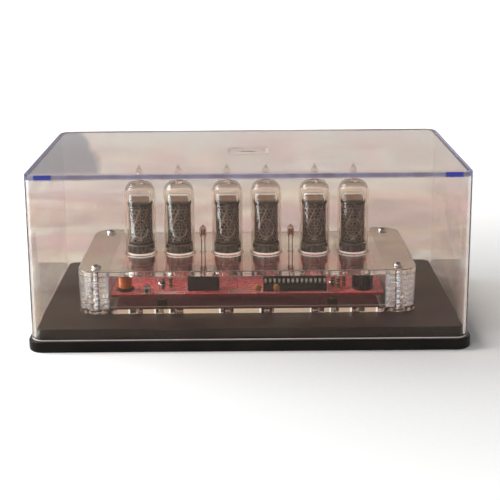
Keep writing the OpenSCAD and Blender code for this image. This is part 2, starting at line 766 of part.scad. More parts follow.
plinth();
display_cover();
bottom_plate();
top_plate();
for (i = [1:LAYERS])
    end_layer(i);
stack_screws();
stack_nuts();
board_standoffs();
board_screws();
circuit_board();
for (i = [1:TUBES]) {
    tube_glass(i);
    tube_stem(i);
    tube_anode_cage(i);
    tube_numerals(i);
}
neon_lamp_bulbs();
neon_lamp_leads();
microcontroller();
chip_socket();
cathode_driver();
film_capacitor();
reservoir_capacitor();
inductor_core();
inductor_winding();
disc_capacitors();
blue_resistor();
tan_resistors();
power_transistor();
timing_crystal();
power_inlet();
set_switch_body();
set_button();
adjust_switch_body();
adjust_button();
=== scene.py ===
# %% [markdown]
# # A tube clock in a clear display case
# The object is a clock with six glowing-numeral tubes. It stands on clear acrylic sheets inside a clear
# cover on a dark plinth. Its real sizes come from a CAD model. This lesson dresses that model in Blender:
# rounder edges, fine wires, glass, and finishes. The first cell loads the CAD model as a fixed frame, and the
# last cell prints the size of what is drawn.

# %% Load the frame
import bpy
import json
import math
import random
from math import cos, sin, pi, radians, sqrt
from mathutils import Matrix, Vector
from mathutils.geometry import tessellate_polygon

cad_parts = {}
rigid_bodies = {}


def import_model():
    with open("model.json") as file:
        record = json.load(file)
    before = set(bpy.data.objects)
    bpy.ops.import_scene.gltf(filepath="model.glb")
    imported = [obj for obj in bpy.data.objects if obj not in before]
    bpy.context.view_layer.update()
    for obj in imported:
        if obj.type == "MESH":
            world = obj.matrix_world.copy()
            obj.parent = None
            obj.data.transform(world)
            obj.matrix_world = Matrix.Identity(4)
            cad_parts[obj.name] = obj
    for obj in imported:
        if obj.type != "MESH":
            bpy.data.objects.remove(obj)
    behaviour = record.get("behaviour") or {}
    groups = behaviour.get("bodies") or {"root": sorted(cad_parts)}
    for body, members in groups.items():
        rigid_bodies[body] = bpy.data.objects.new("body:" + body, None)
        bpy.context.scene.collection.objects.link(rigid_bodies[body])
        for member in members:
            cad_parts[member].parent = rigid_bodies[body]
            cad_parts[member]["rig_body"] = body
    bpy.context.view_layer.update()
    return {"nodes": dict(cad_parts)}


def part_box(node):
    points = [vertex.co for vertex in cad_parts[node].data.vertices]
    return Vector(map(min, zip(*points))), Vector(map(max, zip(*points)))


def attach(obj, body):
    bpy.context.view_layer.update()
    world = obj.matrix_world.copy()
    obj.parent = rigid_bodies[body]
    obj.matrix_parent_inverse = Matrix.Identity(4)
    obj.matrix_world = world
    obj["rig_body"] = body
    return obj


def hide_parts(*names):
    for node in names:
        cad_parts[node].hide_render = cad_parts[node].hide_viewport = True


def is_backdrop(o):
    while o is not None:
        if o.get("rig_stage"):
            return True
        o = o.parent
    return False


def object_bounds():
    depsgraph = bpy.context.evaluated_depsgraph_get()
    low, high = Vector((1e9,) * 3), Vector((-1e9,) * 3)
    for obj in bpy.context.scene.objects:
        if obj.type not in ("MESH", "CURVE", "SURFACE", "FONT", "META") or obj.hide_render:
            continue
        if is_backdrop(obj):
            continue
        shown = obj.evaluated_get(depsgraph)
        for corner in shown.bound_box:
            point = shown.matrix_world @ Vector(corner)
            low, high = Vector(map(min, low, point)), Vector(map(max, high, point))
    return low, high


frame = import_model()

# %% [markdown]
# Small mechanical pieces are easiest to think about in millimetres, while Blender works in metres. A Shape
# collects points in millimetres and faces, and each face carries the number of its finish. Only when it
# becomes a mesh is it scaled.

# %% A shape to collect points and faces
class Shape:
    def __init__(self):
        self.points, self.faces, self.finishes = [], [], []

    def add(self, points, faces, finish=0, turn=None):
        start = len(self.points)
        self.points += [tuple(turn @ Vector(p)) if turn else tuple(p) for p in points]
        self.faces += [tuple(start + k for k in face) for face in faces]
        self.finishes += finish if isinstance(finish, list) else [finish] * len(faces)

    def mesh(self, name, finishes, sharp):
        mesh = bpy.data.meshes.new(name)
        mesh.from_pydata([(x / 1000, y / 1000, z / 1000) for x, y, z in self.points], [], self.faces)
        for finish in finishes:
            mesh.materials.append(finish)
        mesh.polygons.foreach_set("material_index", self.finishes)
        mesh.shade_smooth()
        mesh.set_sharp_from_angle(angle=radians(sharp))
        return mesh


def extent(node):
    """The lowest and highest corner of a CAD node, in millimetres."""
    low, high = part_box(node)
    return [v * 1000 for v in low], [v * 1000 for v in high]


def middle(node):
    low, high = extent(node)
    return [(a + b) / 2 for a, b in zip(low, high)]


# %% [markdown]
# A piece is an object that stands for one or more CAD nodes and moves with the same body. Several tubes
# share one mesh, so a mesh can be given in place of a shape, with the place where it stands. Smooth shading
# bends the light near every rounded edge, and in a clear wall that would shift all that is seen through it.
# A Weighted Normal modifier lets the large faces decide, so a flat wall stays optically flat.

# %% Make a piece that stands for CAD nodes
def new_object(name, data, place=(0, 0, 0)):
    obj = bpy.data.objects.new(name, data)
    obj.location = place
    bpy.context.scene.collection.objects.link(obj)
    return obj


def piece(name, shape, finishes, nodes, sharp=32, at=(0, 0, 0)):
    mesh = shape if isinstance(shape, bpy.types.Mesh) else shape.mesh(name, finishes, sharp)
    obj = new_object(name, mesh, [v / 1000 for v in at])
    even = obj.modifiers.new("large faces stay flat", "WEIGHTED_NORMAL")
    even.keep_sharp, even.weight = True, 100
    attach(obj, frame["nodes"][nodes[0]]["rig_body"])
    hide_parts(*nodes)
    print(f"{name}: {len(mesh.polygons)} faces for {', '.join(nodes)}")
    return obj


# %% [markdown]
# Three ways of making surfaces do nearly all the work here. A loft skins rings that lie one above the
# other, a lathe turns a profile round an upright line, and a wire is a small ring swept along a path. Each
# works with plain lists of points, so no sketch and no modifier has to be kept. A loop of (x, y) points
# becomes a ring once it is put at a height.

# %% Loft, lathe and wire
def circle(x, y, r, steps=36, start=0):
    return [(x + r * cos(2 * pi * k / steps + start), y + r * sin(2 * pi * k / steps + start))
            for k in range(steps)]


def at_height(loop, z):
    return [(x, y, z) for x, y in loop]


def loft(shape, rings, finish=0, bottom=True, top=True, turn=None):
    n, bands = len(rings[0]), len(rings) - 1
    kinds = finish if isinstance(finish, list) else [finish] * bands
    faces, marks = [], []
    for r in range(bands):
        for k in range(n):
            faces.append((r * n + k, r * n + (k + 1) % n, (r + 1) * n + (k + 1) % n, (r + 1) * n + k))
            marks.append(kinds[r])
    if bottom:
        faces.append(tuple(reversed(range(n))))
        marks.append(kinds[0])
    if top:
        faces.append(tuple(range(bands * n, bands * n + n)))
        marks.append(kinds[-1])
    shape.add([p for ring in rings for p in ring], faces, marks, turn)


def lathe(shape, profile, x=0, y=0, steps=32, finish=0, turn=None):
    points, rows, faces, marks = [], [], [], []
    for r, z in profile:
        count = 1 if r < 1e-6 else steps
        rows.append(range(len(points), len(points) + count))
        points += at_height(circle(x, y, r, steps)[:count], z)
    kinds = finish if isinstance(finish, list) else [finish] * (len(rows) - 1)
    for low, high, kind in zip(rows, rows[1:], kinds):
        for k in range(steps):
            face = (low[k % len(low)], low[(k + 1) % len(low)],
                    high[(k + 1) % len(high)], high[k % len(high)])
            face = tuple(dict.fromkeys(face))
            if len(face) > 2:
                faces.append(face)
                marks.append(kind)
    shape.add(points, faces, marks, turn)


def wire(shape, path, radius, sides=8, finish=0, turn=None):
    path = [Vector(p) for p in path]
    rings, across = [], None
    for k, p in enumerate(path):
        along = (path[min(k + 1, len(path) - 1)] - path[max(k - 1, 0)]).normalized()
        across = across or along.orthogonal()
        across = (across - along * across.dot(along)).normalized()
        up = along.cross(across)
        rings.append([p + radius * (cos(2 * pi * m / sides) * across + sin(2 * pi * m / sides) * up)
                      for m in range(sides)])
    loft(shape, rings, finish, turn=turn)


# %% [markdown]
# Real blocks never have knife edges. A softened block is a loft of rounded rectangles that draw in near
# both ends, so its edges catch a thin highlight.

# %% Rounded rectangles and softened blocks
def rounded_rectangle(w, d, r, z, x=0, y=0, steps=5):
    ring = []
    for cx, cy, start in ((w / 2 - r, d / 2 - r, 0), (r - w / 2, d / 2 - r, 90),
                          (r - w / 2, r - d / 2, 180), (w / 2 - r, r - d / 2, 270)):
        for k in range(steps + 1):
            a = radians(start + 90 * k / steps)
            ring.append((x + cx + r * cos(a), y + cy + r * sin(a), z))
    return ring


def block(shape, low, high, soften=0.2, finish=0, corner=None, turn=None, steps=3):
    w, d = high[0] - low[0], high[1] - low[1]
    x, y = (low[0] + high[0]) / 2, (low[1] + high[1]) / 2
    r = max(corner or soften, soften)
    rings = []
    for inset, z in ((1, low[2]), (0.293, low[2] + 0.293 * soften), (0, low[2] + soften),
                     (0, high[2] - soften), (0.293, high[2] - 0.293 * soften), (1, high[2])):
        i = inset * soften
        rings.append(rounded_rectangle(w - 2 * i, d - 2 * i, max(r - i, 0.01), z, x, y, steps))
    loft(shape, rings, finish, turn=turn)


# %% [markdown]
# The acrylic sheets and the board are flat plates with holes. The top and bottom are filled between the
# outline and the holes, and a narrow bevel runs round each cut. Faces get finish 0 and cuts finish 1,
# because a cut edge is less polished than the face of a sheet.

# %% Flat plates with holes and bevelled cuts
def drawn_in(loop, distance):
    moved = []
    for k, (x, y) in enumerate(loop):
        (ax, ay), (bx, by) = loop[k - 1], loop[(k + 1) % len(loop)]
        before = Vector((ay - y, x - ax)).normalized()
        after = Vector((y - by, bx - x)).normalized()
        move = (before + after) * (distance / max(1 + before.dot(after), 0.3))
        moved.append((x + move.x, y + move.y))
    return moved


def plate(shape, outline, holes, z0, z1, bevel=0.15, face=0, cut=1):
    loops = [outline] + [list(reversed(hole)) for hole in holes]
    inner = [drawn_in(loop, bevel) for loop in loops]
    for loop, small in zip(loops, inner):
        rings = [at_height(ring, z) for ring, z in
                 ((small, z0), (loop, z0 + bevel), (loop, z1 - bevel), (small, z1))]
        loft(shape, rings, cut, bottom=False, top=False)
    flat = [p for loop in inner for p in loop]
    for z, way in ((z0, -1), (z1, 1)):
        faces = []
        for a, b, c in tessellate_polygon([[Vector((x, y, 0)) for x, y in loop] for loop in inner]):
            (ax, ay), (bx, by), (cx, cy) = flat[a], flat[b], flat[c]
            turned = (bx - ax) * (cy - ay) - (by - ay) * (cx - ax)
            faces.append((a, b, c) if turned * way > 0 else (a, c, b))
        shape.add(at_height(flat, z), faces, face)


# %% [markdown]
# Finishes are built from nodes. A few helpers keep that short. One feeds a socket with a link, a number or
# a colour, and the others add one node each: a noise, a spread of its values over a range, a blend of two
# colours, a sum or product, and a mix of two shaders.

# %% Helpers for nodes
def feed(tree, socket, value):
    if isinstance(value, bpy.types.NodeSocket):
        tree.links.new(value, socket)
    else:
        socket.default_value = (*value, 1) if isinstance(value, tuple) else value


def noise(tree, mapping, size, detail=3.0, twist=0.0):
    node = tree.nodes.new("ShaderNodeTexNoise")
    node.inputs["Scale"].default_value = 1 / size
    node.inputs["Detail"].default_value = detail
    node.inputs["Distortion"].default_value = twist
    tree.links.new(mapping.outputs["Vector"], node.inputs["Vector"])
    return node.outputs["Fac"]


def spread(tree, value, low, high, start=0.35, end=0.65):
    node = tree.nodes.new("ShaderNodeMapRange")
    for name, number in (("From Min", start), ("From Max", end), ("To Min", low), ("To Max", high)):
        node.inputs[name].default_value = number
    tree.links.new(value, node.inputs["Value"])
    return node.outputs["Result"]


def blend_colours(tree, factor, first, second):
    node = tree.nodes.new("ShaderNodeMix")
    node.data_type = "RGBA"
    feed(tree, node.inputs[0], factor)
    feed(tree, node.inputs[6], first)
    feed(tree, node.inputs[7], second)
    return node.outputs[2]


def arithmetic(tree, operation, *values, clamp=False):
    node = tree.nodes.new("ShaderNodeMath")
    node.operation, node.use_clamp = operation, clamp
    for socket, value in zip(node.inputs, values):
        feed(tree, socket, value)
    return node.outputs[0]


def mix_shaders(tree, factor, first, second):
    node = tree.nodes.new("ShaderNodeMixShader")
    for socket, value in zip(node.inputs, (factor, first, second)):
        feed(tree, socket, value)
    return node.outputs[0]


def show(tree, shader):
    tree.links.new(shader, tree.nodes["Material Output"].inputs["Surface"])


# %% [markdown]
# A finish is a node material. Patches of noise move the colour between two tones, fine grains move the
# roughness and give a slight bump, so that no surface is one flat colour. Specks of further tones can lie
# over the base colour. Everything runs on object coordinates, in metres, so a patch or a grain has a real
# size. What is the same all over a surface is set on the shader itself.

# %% Build a finish
def new_finish(name, stretch=(1, 1, 1)):
    material = bpy.data.materials.new(name)
    material.use_nodes = True
    tree = material.node_tree
    coordinates = tree.nodes.new("ShaderNodeTexCoord")
    mapping = tree.nodes.new("ShaderNodeMapping")
    mapping.inputs["Scale"].default_value = stretch
    tree.links.new(coordinates.outputs["Object"], mapping.inputs["Vector"])
    return material, tree, tree.nodes["Principled BSDF"], mapping


def patches(tree, mapping, size, first, second):
    return blend_colours(tree, spread(tree, noise(tree, mapping, size), 0, 1), first, second)


def add_bump(tree, height, shader, strength, distance=0.0001):
    bump = tree.nodes.new("ShaderNodeBump")
    bump.inputs["Strength"].default_value = strength
    bump.inputs["Distance"].default_value = distance
    tree.links.new(height, bump.inputs["Height"])
    tree.links.new(bump.outputs["Normal"], shader.inputs["Normal"])


def finish(name, colour, second, patch=0.004, rough=(0.3, 0.45), grain=0.0005, bump=0.15,
           stretch=(1, 1, 1), specks=(), **sockets):
    material, tree, shader, mapping = new_finish(name, stretch)
    base = patches(tree, mapping, patch, colour, second)
    for size, start, tone in specks:
        speck = spread(tree, noise(tree, mapping, size, 1.0), 0, 1, start, start + 0.03)
        base = blend_colours(tree, speck, base, tone)
    tree.links.new(base, shader.inputs["Base Color"])
    grains = noise(tree, mapping, grain, 2.0)
    tree.links.new(spread(tree, grains, *rough), shader.inputs["Roughness"])
    add_bump(tree, grains, shader, bump)
    for socket, value in sockets.items():
        shader.inputs[socket.replace("_", " ")].default_value = value
    return material


# %% [markdown]
# Clear materials need one more trick. A real glass wall lets a lamp's light through, but a path tracer
# finds that light only by chance. For shadow rays alone the finish is plain transparent, so the inside of
# the case is lit without noise. What the eye sees stays true glass, with its refraction and reflections. A
# tube seen at its rim is looked at through more glass, so the finish can have a deeper rim colour, which a
# Layer Weight node brings in. A polished sheet seen at a flat angle mirrors more than it shows, so it can
# have a mirror share too, which grows in the same way.

# %% Build a clear finish
def flat_share(tree, most, start, end):
    """Nothing where a surface is seen straight on, and up to most at flat angles."""
    weight = tree.nodes.new("ShaderNodeLayerWeight")
    return spread(tree, weight.outputs["Facing"], 0, most, start, end)


def clear_finish(name, colour, second, patch=0.03, ior=1.49, rough=0.0, wave=0.004, bump=0.02,
                 shade=0.94, stretch=(1, 1, 1), gloss=(1, 1, 1), rim=None, rim_from=0.55,
                 paint=None, mirror=0):
    material, tree, shader, mapping = new_finish(name, stretch)
    tint = paint(tree, mapping) if paint else patches(tree, mapping, patch, colour, second)
    if rim:
        tint = blend_colours(tree, flat_share(tree, 1, rim_from, 0.95), tint, rim)
    tree.links.new(tint, shader.inputs["Base Color"])
    add_bump(tree, noise(tree, mapping, wave, 1.0), shader, bump)
    shader.inputs["Specular Tint"].default_value = (*gloss, 1)
    shader.inputs["Transmission Weight"].default_value = 1
    shader.inputs["Roughness"].default_value = rough
    shader.inputs["IOR"].default_value = ior
    seen = shader.outputs[0]
    if mirror:
        polish = tree.nodes.new("ShaderNodeBsdfGlossy")
        polish.inputs["Color"].default_value = (0.92, 0.92, 0.92, 1)
        polish.inputs["Roughness"].default_value = 0.01
        inner_side = tree.nodes.new("ShaderNodeNewGeometry").outputs["Backfacing"]
        share = arithmetic(tree, "SUBTRACT", flat_share(tree, mirror, 0.40, 0.70), inner_side, clamp=True)
        seen = mix_shaders(tree, share, seen, polish.outputs[0])
    through = tree.nodes.new("ShaderNodeBsdfTransparent")
    through.inputs["Color"].default_value = (shade, shade * 0.985, shade * 0.97, 1)
    rays = tree.nodes.new("ShaderNodeLightPath").outputs
    show(tree, mix_shaders(tree, rays["Is Shadow Ray"], seen, through.outputs[0]))
    return material


# %% [markdown]
# The camera stands where the photographer stood: a little above the case, in front of its middle. Its place
# and lens were worked out from the case's own corners. The lens is shifted down a little, because the
# picture is cropped low.

# %% Camera
camera_data = bpy.data.cameras.new("photo_camera")
camera_data.sensor_width = 36
camera_data.lens = 78.61
camera_data.shift_x, camera_data.shift_y = 0.0045, -0.1643
camera_data.clip_start, camera_data.clip_end = 0.01, 50
yaw, pitch, roll = -0.0007, 0.219, -0.0087
forward = Vector((sin(yaw) * cos(pitch), cos(yaw) * cos(pitch), -sin(pitch)))
level = Vector((cos(yaw), -sin(yaw), 0))
rise = level.cross(forward)
right = cos(roll) * level + sin(roll) * rise
upward = -sin(roll) * level + cos(roll) * rise
camera = new_object("photo_camera", camera_data)
camera.matrix_world = Matrix((
    (right.x, upward.x, -forward.x, 0.00012),
    (right.y, upward.y, -forward.y, -0.61665),
    (right.z, upward.z, -forward.z, 0.22411),
    (0, 0, 0, 1)))
bpy.context.scene.camera = camera
print("camera looks down by", round(math.degrees(pitch), 1), "degrees")

# %% [markdown]
# The floor is pale paper. It is lit like everything else, so the shadow stays, and for rays that end in the
# eye a little light of its own lifts it to white. That light grows with the distance. Seen straight on, it
# grows from the right of the case, so that the shadow there stays deep, and seen in glass, from the middle.

# %% Floor
FLOOR_REACH = 6
FULL_GLOW = 0.75


def flat_mesh(name, x, y, material):
    """A flat four-sided mesh that reaches x and y from its middle."""
    mesh = bpy.data.meshes.new(name)
    mesh.from_pydata([(-x, -y, 0), (x, -y, 0), (x, y, 0), (-x, y, 0)], [], [(0, 1, 2, 3)])
    mesh.materials.append(material)
    return mesh


def growing_glow(tree, mapping, shift, nearest, start, end):
    """A strength that grows with the distance from a point, which the shift brings to the origin."""
    moved = tree.nodes.new("ShaderNodeMapping")
    moved.inputs["Location"].default_value = shift
    tree.links.new(mapping.outputs["Vector"], moved.inputs["Vector"])
    distance = tree.nodes.new("ShaderNodeVectorMath")
    distance.operation = "LENGTH"
    tree.links.new(moved.outputs["Vector"], distance.inputs[0])
    return spread(tree, distance.outputs["Value"], nearest, FULL_GLOW, start, end)


paper, tree, shader, mapping = new_finish("pale_paper")
fibres = patches(tree, mapping, 0.002, (0.82, 0.82, 0.82), (0.84, 0.84, 0.835))
tree.links.new(fibres, shader.inputs["Base Color"])
shader.inputs["Roughness"].default_value = 0.9
shader.inputs["Specular IOR Level"].default_value = 0.1
rays = tree.nodes.new("ShaderNodeLightPath").outputs
strength = tree.nodes.new("ShaderNodeMix")
feed(tree, strength.inputs[0], rays["Is Camera Ray"])
feed(tree, strength.inputs[2], growing_glow(tree, mapping, (0, 0, 0), 0.12, 0.22, 1.0))
feed(tree, strength.inputs[3], growing_glow(tree, mapping, (-0.145, 0.01, 0), 0.0, 0.08, 0.52))
glow = tree.nodes.new("ShaderNodeEmission")
tree.links.new(strength.outputs[0], glow.inputs["Strength"])
dark = tree.nodes.new("ShaderNodeEmission")
dark.inputs["Strength"].default_value = 0
to_the_eye = arithmetic(tree, "MAXIMUM", rays["Is Camera Ray"], rays["Is Glossy Ray"])
to_the_eye = arithmetic(tree, "MAXIMUM", to_the_eye, rays["Is Transmission Ray"])
both = tree.nodes.new("ShaderNodeAddShader")
tree.links.new(shader.outputs[0], both.inputs[0])
tree.links.new(mix_shaders(tree, to_the_eye, dark.outputs[0], glow.outputs[0]), both.inputs[1])
show(tree, both.outputs[0])
floor = new_object("paper_floor", flat_mesh("paper_floor", FLOOR_REACH, FLOOR_REACH, paper))
floor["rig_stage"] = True
print("the floor is", 2 * FLOOR_REACH, "m wide")

# %% [markdown]
# The sky is pale near the horizon and a warm grey higher up: a clear top has to reflect something calm, or
# it would vanish. A colour ramp over the height of the view direction holds all its tones.

# %% Surroundings
world = bpy.data.worlds.new("studio")
bpy.context.scene.world = world
world.use_nodes = True
sky = world.node_tree
sky_colour = sky.nodes["Background"]
direction = sky.nodes.new("ShaderNodeTexCoord")
parts = sky.nodes.new("ShaderNodeSeparateXYZ")
sky.links.new(direction.outputs["Generated"], parts.inputs[0])
ramp = sky.nodes.new("ShaderNodeValToRGB")
sky_tones = ((0.0, (0.93, 0.92, 0.91)), (0.09, (0.88, 0.85, 0.82)), (0.20, (0.60, 0.54, 0.51)),
             (0.24, (0.74, 0.67, 0.62)), (0.31, (0.92, 0.85, 0.78)), (0.42, (0.36, 0.34, 0.33)),
             (0.60, (0.24, 0.24, 0.24)), (1.0, (0.26, 0.26, 0.27)))
while len(ramp.color_ramp.elements) < len(sky_tones):
    ramp.color_ramp.elements.new(0.5)
for element, (height, tone) in zip(ramp.color_ramp.elements, sky_tones):
    element.position = height
    element.color = (*tone, 1)
sky.links.new(parts.outputs["Z"], ramp.inputs[0])
sky.links.new(ramp.outputs["Color"], sky_colour.inputs["Color"])
sky_colour.inputs["Strength"].default_value = 1.0
print("tones in the sky:", len(sky_tones))

# %% [markdown]
# A large soft window light comes from the left, so the shadow falls to the right, and a weak fill comes
# from the front. Two panels light nothing and can't be seen straight on. They glow only for rays that were
# mirrored by something inside the cover. The low one is the tall bright streak on the tubes, and the one at
# the window is the bright spot on each dome and the glitter of the end stacks: such lights make glass look
# like glass.

# %% Lamps
def aim_at(obj, target):
    obj.rotation_euler = (Vector(target) - obj.location).to_track_quat("-Z", "Y").to_euler()


def lamp(name, place, target, size, power, colour=(1, 1, 1)):
    data = bpy.data.lights.new(name, "AREA")
    data.shape = "RECTANGLE"
    data.size, data.size_y = size
    data.energy = power
    data.color = colour
    obj = new_object(name, data, place)
    aim_at(obj, target)
    obj.visible_camera = False


def mirrored_panel(name, place, target, size, strength):
    material, tree, shader, mapping = new_finish(name + "_glow")
    glow = tree.nodes.new("ShaderNodeEmission")
    fabric = patches(tree, mapping, 0.05, (0.55, 0.80, 1.0), (0.70, 0.88, 1.0))
    tree.links.new(fabric, glow.inputs["Color"])
    glow.inputs["Strength"].default_value = strength
    clear = tree.nodes.new("ShaderNodeBsdfTransparent")
    rays = tree.nodes.new("ShaderNodeLightPath").outputs
    was_mirrored = spread(tree, rays["Glossy Depth"], 0, 1, 0.4, 0.6)
    came_from_inside = spread(tree, rays["Transmission Depth"], 0, 1, 3.4, 3.6)
    share = arithmetic(tree, "MULTIPLY", was_mirrored, came_from_inside)
    show(tree, mix_shaders(tree, share, clear.outputs[0], glow.outputs[0]))
    material.cycles.emission_sampling = "NONE"
    panel = new_object(name, flat_mesh(name, size[0] / 2, size[1] / 2, material), place)
    aim_at(panel, target)
    panel.visible_camera = panel.visible_diffuse = panel.visible_shadow = False
    panel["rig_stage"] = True


lamp("window_light", (-2.0, 0.30, 1.45), (0, 0, 0.03), (1.3, 1.3), 70, (0.99, 0.995, 1.0))
lamp("front_fill", (-1.3, -1.9, 1.4), (0, 0, 0.03), (1.2, 1.2), 15, (1.0, 0.98, 0.96))
mirrored_panel("low_panel", (-0.3125, -0.095, 0.002), (-0.3125, -0.095, 1), (0.355, 0.085), 15)
mirrored_panel("window_glint", (-1.9, 0.90, 1.45), (0, 0, 0.05), (0.9, 0.9), 450)

# %% [markdown]
# A ray that enters the case crosses many clear walls, so the path tracer has to follow it through more of
# them than usual.

# %% Ray depths and view
cycles = bpy.context.scene.cycles
cycles.max_bounces, cycles.transmission_bounces, cycles.transparent_max_bounces = 26, 24, 24
cycles.glossy_bounces, cycles.diffuse_bounces = 8, 3
cycles.caustics_reflective = cycles.caustics_refractive = False
bpy.context.scene.view_settings.view_transform = "Standard"
print("a ray may bounce", cycles.max_bounces, "times")

# %% [markdown]
# ## The display case
# The plinth is moulded in dark brown plastic with a satin face: a low flange, and a plateau that fits
# inside the cover. A loft of rounded rectangles makes both steps in one piece with soft edges. The sides of
# the flange carry painted shade: the same plastic, made far darker.

# %% Plinth
dark_plinth = finish("dark_plinth", (0.030, 0.021, 0.018), (0.046, 0.033, 0.029), patch=0.030,
                     rough=(0.30, 0.42), grain=0.0009, bump=0.05, stretch=(0.4, 1.6, 1),
                     Specular_IOR_Level=0.28)
# The rim finish is painted shade on the same plastic: the flange's sides are much darker and duller.
plinth_rim_shade = finish("plinth_rim_shade", (0.0050, 0.0042, 0.0034), (0.010, 0.0075, 0.006), patch=0.02,
                    rough=(0.30, 0.42), grain=0.0006, bump=0.10, Specular_IOR_Level=0.12)
low, high = extent("plinth")
cover_low, cover_high = extent("display_cover")
flange_w, flange_d, flange_h = high[0] - low[0], high[1] - low[1], cover_low[2]
cover_w, cover_d = cover_high[0] - cover_low[0], cover_high[1] - cover_low[1]
CORNER, WALL, LOOSE_FIT = 7.0, 2.0, 0.4
FLANGE_CORNER = CORNER + 1.8
inside = 2 * (WALL + LOOSE_FIT)
shape = Shape()
rings = []
for inset, z in ((0.9, 0), (0.25, 0.25), (0, 0.9),
                 (0, flange_h - 0.7), (0.2, flange_h - 0.2), (0.7, flange_h)):
    rings.append(rounded_rectangle(flange_w - 2 * inset, flange_d - 2 * inset, FLANGE_CORNER - inset, z,
                                   steps=8))
for inset, z in ((0, flange_h), (0, high[2] - 0.6), (0.18, high[2] - 0.18), (0.6, high[2])):
    rings.append(rounded_rectangle(cover_w - inside - 2 * inset, cover_d - inside - 2 * inset,
                                   CORNER - WALL - LOOSE_FIT - inset, z, steps=8))
RIM, PLATEAU = [1] * 5, [0] * 4
loft(shape, rings, RIM + PLATEAU)
piece("plinth_moulding", shape, [dark_plinth, plinth_rim_shade], ["plinth"], sharp=50)

# %% [markdown]
# The cover is one thin moulding of clear plastic with five sides. The room that shows through it and in it
# isn't modelled. Its reflections are painted into the tint as soft waves: beige and mauve on the walls, a
# greyer band under the top, a mauve band along the front of the top, and a grey zone at the left of the
# top. Each tint is laid over the last one where a noise, a height or a slanting line says so.

# %% The room's reflections painted into the cover's tint
def object_place(tree):
    """The object coordinates of a finish, and their three numbers."""
    place = next(n for n in tree.nodes if n.type == "TEX_COORD").outputs["Object"]
    parts = tree.nodes.new("ShaderNodeSeparateXYZ")
    tree.links.new(place, parts.inputs[0])
    return place, *parts.outputs


# Painted reflections of the room: beige and mauve waves, a greyer band, and a grey zone on the top.
def painted_room_reflections(tree, mapping):
    place, x, y, z = object_place(tree)
    waves = noise(tree, mapping, 0.036, 1.5, 1.2)
    tint = blend_colours(tree, spread(tree, waves, 0, 1, 0.38, 0.62),
                         (0.818, 0.722, 0.635), (0.672, 0.588, 0.565))
    mauve = spread(tree, noise(tree, mapping, 0.052, 1.5, 0.8), 0, 1, 0.50, 0.64)
    tint = blend_colours(tree, mauve, tint, (0.81, 0.67, 0.67))
    pale = spread(tree, noise(tree, mapping, 0.028, 1.0, 1.2), 0, 1, 0.52, 0.70)
    tint = blend_colours(tree, pale, tint, (0.845, 0.81, 0.75))
    tint = blend_colours(tree, spread(tree, z, 0, 0.75, 0.084, 0.093), tint, (0.725, 0.735, 0.728))

    streaks = tree.nodes.new("ShaderNodeMapping")
    streaks.inputs["Scale"].default_value = (1.0, 0.25, 0.0)
    tree.links.new(place, streaks.inputs["Vector"])
    bands = noise(tree, streaks, 0.030, 2.0, 0.4)
    top = blend_colours(tree, spread(tree, bands, 0, 1, 0.40, 0.60), (0.77, 0.66, 0.63), (0.75, 0.73, 0.69))
    slant = arithmetic(tree, "MULTIPLY_ADD", y, 0.278, x)
    slant = arithmetic(tree, "MULTIPLY_ADD", bands, 0.05, slant)
    top = blend_colours(tree, spread(tree, slant, 1, 0, -0.070, -0.062), top, (0.30, 0.32, 0.375))
    top = blend_colours(tree, spread(tree, y, 0.8, 0, -0.0600, -0.0535), top, (0.56, 0.48, 0.52))
    return blend_colours(tree, spread(tree, z, 0, 1, 0.0940, 0.0952), tint, top)


# The warm tint on the cover's gloss is painted too: it browns what the cover reflects.
clear_cover = clear_finish("clear_cover", None, None, ior=1.40, wave=0.035, bump=0.25,
                           stretch=(0.42, 0.42, 1.6), gloss=(0.60, 0.52, 0.47), paint=painted_room_reflections)
# The pale band on the cover's foot is a painted highlight: the thin white line along the foot.
cover_foot_highlight = finish("cover_foot_highlight", (0.90, 0.86, 0.84), (0.78, 0.73, 0.71), patch=0.01,
                    rough=(0.2, 0.35), bump=0.05)
# The sloped walls of the sunk field carry a painted brownish reflection, and are mostly opaque.
recess_wall_reflection = finish("recess_wall_reflection", (0.66, 0.56, 0.52), (0.52, 0.44, 0.41), patch=0.003,
                     rough=(0.15, 0.3), Alpha=0.80)

# %% [markdown]
# The thick edge of the top gathers light and looks tinted, and that light is painted into a finish of its
# own. It is grey violet in front, a painted navy shade on the left and a painted light blue violet on the
# right, with a painted bright blue highlight near each front corner and a paler rear edge.

# %% The edge with painted light
PAINTED_GLINT_X = 0.1074
cover_edge, tree, shader, mapping = new_finish("cover_edge")
place, x, y, z = object_place(tree)
base = patches(tree, mapping, 0.012, (0.24, 0.20, 0.27), (0.36, 0.34, 0.47))
# Painted light on the edge: navy shade at the left, blue violet at the right, a highlight near each front
# corner.
base = blend_colours(tree, spread(tree, x, 0, 1, -0.1150, -0.1162), base, (0.012, 0.014, 0.22))
base = blend_colours(tree, spread(tree, x, 0, 1, 0.1150, 0.1162), base, (0.26, 0.25, 0.62))
off_glint = arithmetic(tree, "SUBTRACT", arithmetic(tree, "ABSOLUTE", x), PAINTED_GLINT_X)
painted_glint = spread(tree, arithmetic(tree, "ABSOLUTE", off_glint), 1, 0, 0.0042, 0.0052)
in_front = spread(tree, y, 1, 0, -0.0620, -0.0610)
base = blend_colours(tree, arithmetic(tree, "MULTIPLY", painted_glint, in_front), base, (0.02, 0.035, 0.42))
base = blend_colours(tree, spread(tree, y, 0, 1, 0.0600, 0.0608), base, (0.45, 0.40, 0.40))
tree.links.new(base, shader.inputs["Base Color"])
grains = noise(tree, mapping, 0.0015)
tree.links.new(spread(tree, grains, 0.12, 0.25), shader.inputs["Roughness"])
add_bump(tree, grains, shader, 0.1)
shader.inputs["Transmission Weight"].default_value = 0.35
shader.inputs["IOR"].default_value = 1.47
print("nodes in the tinted edge:", len(tree.nodes))

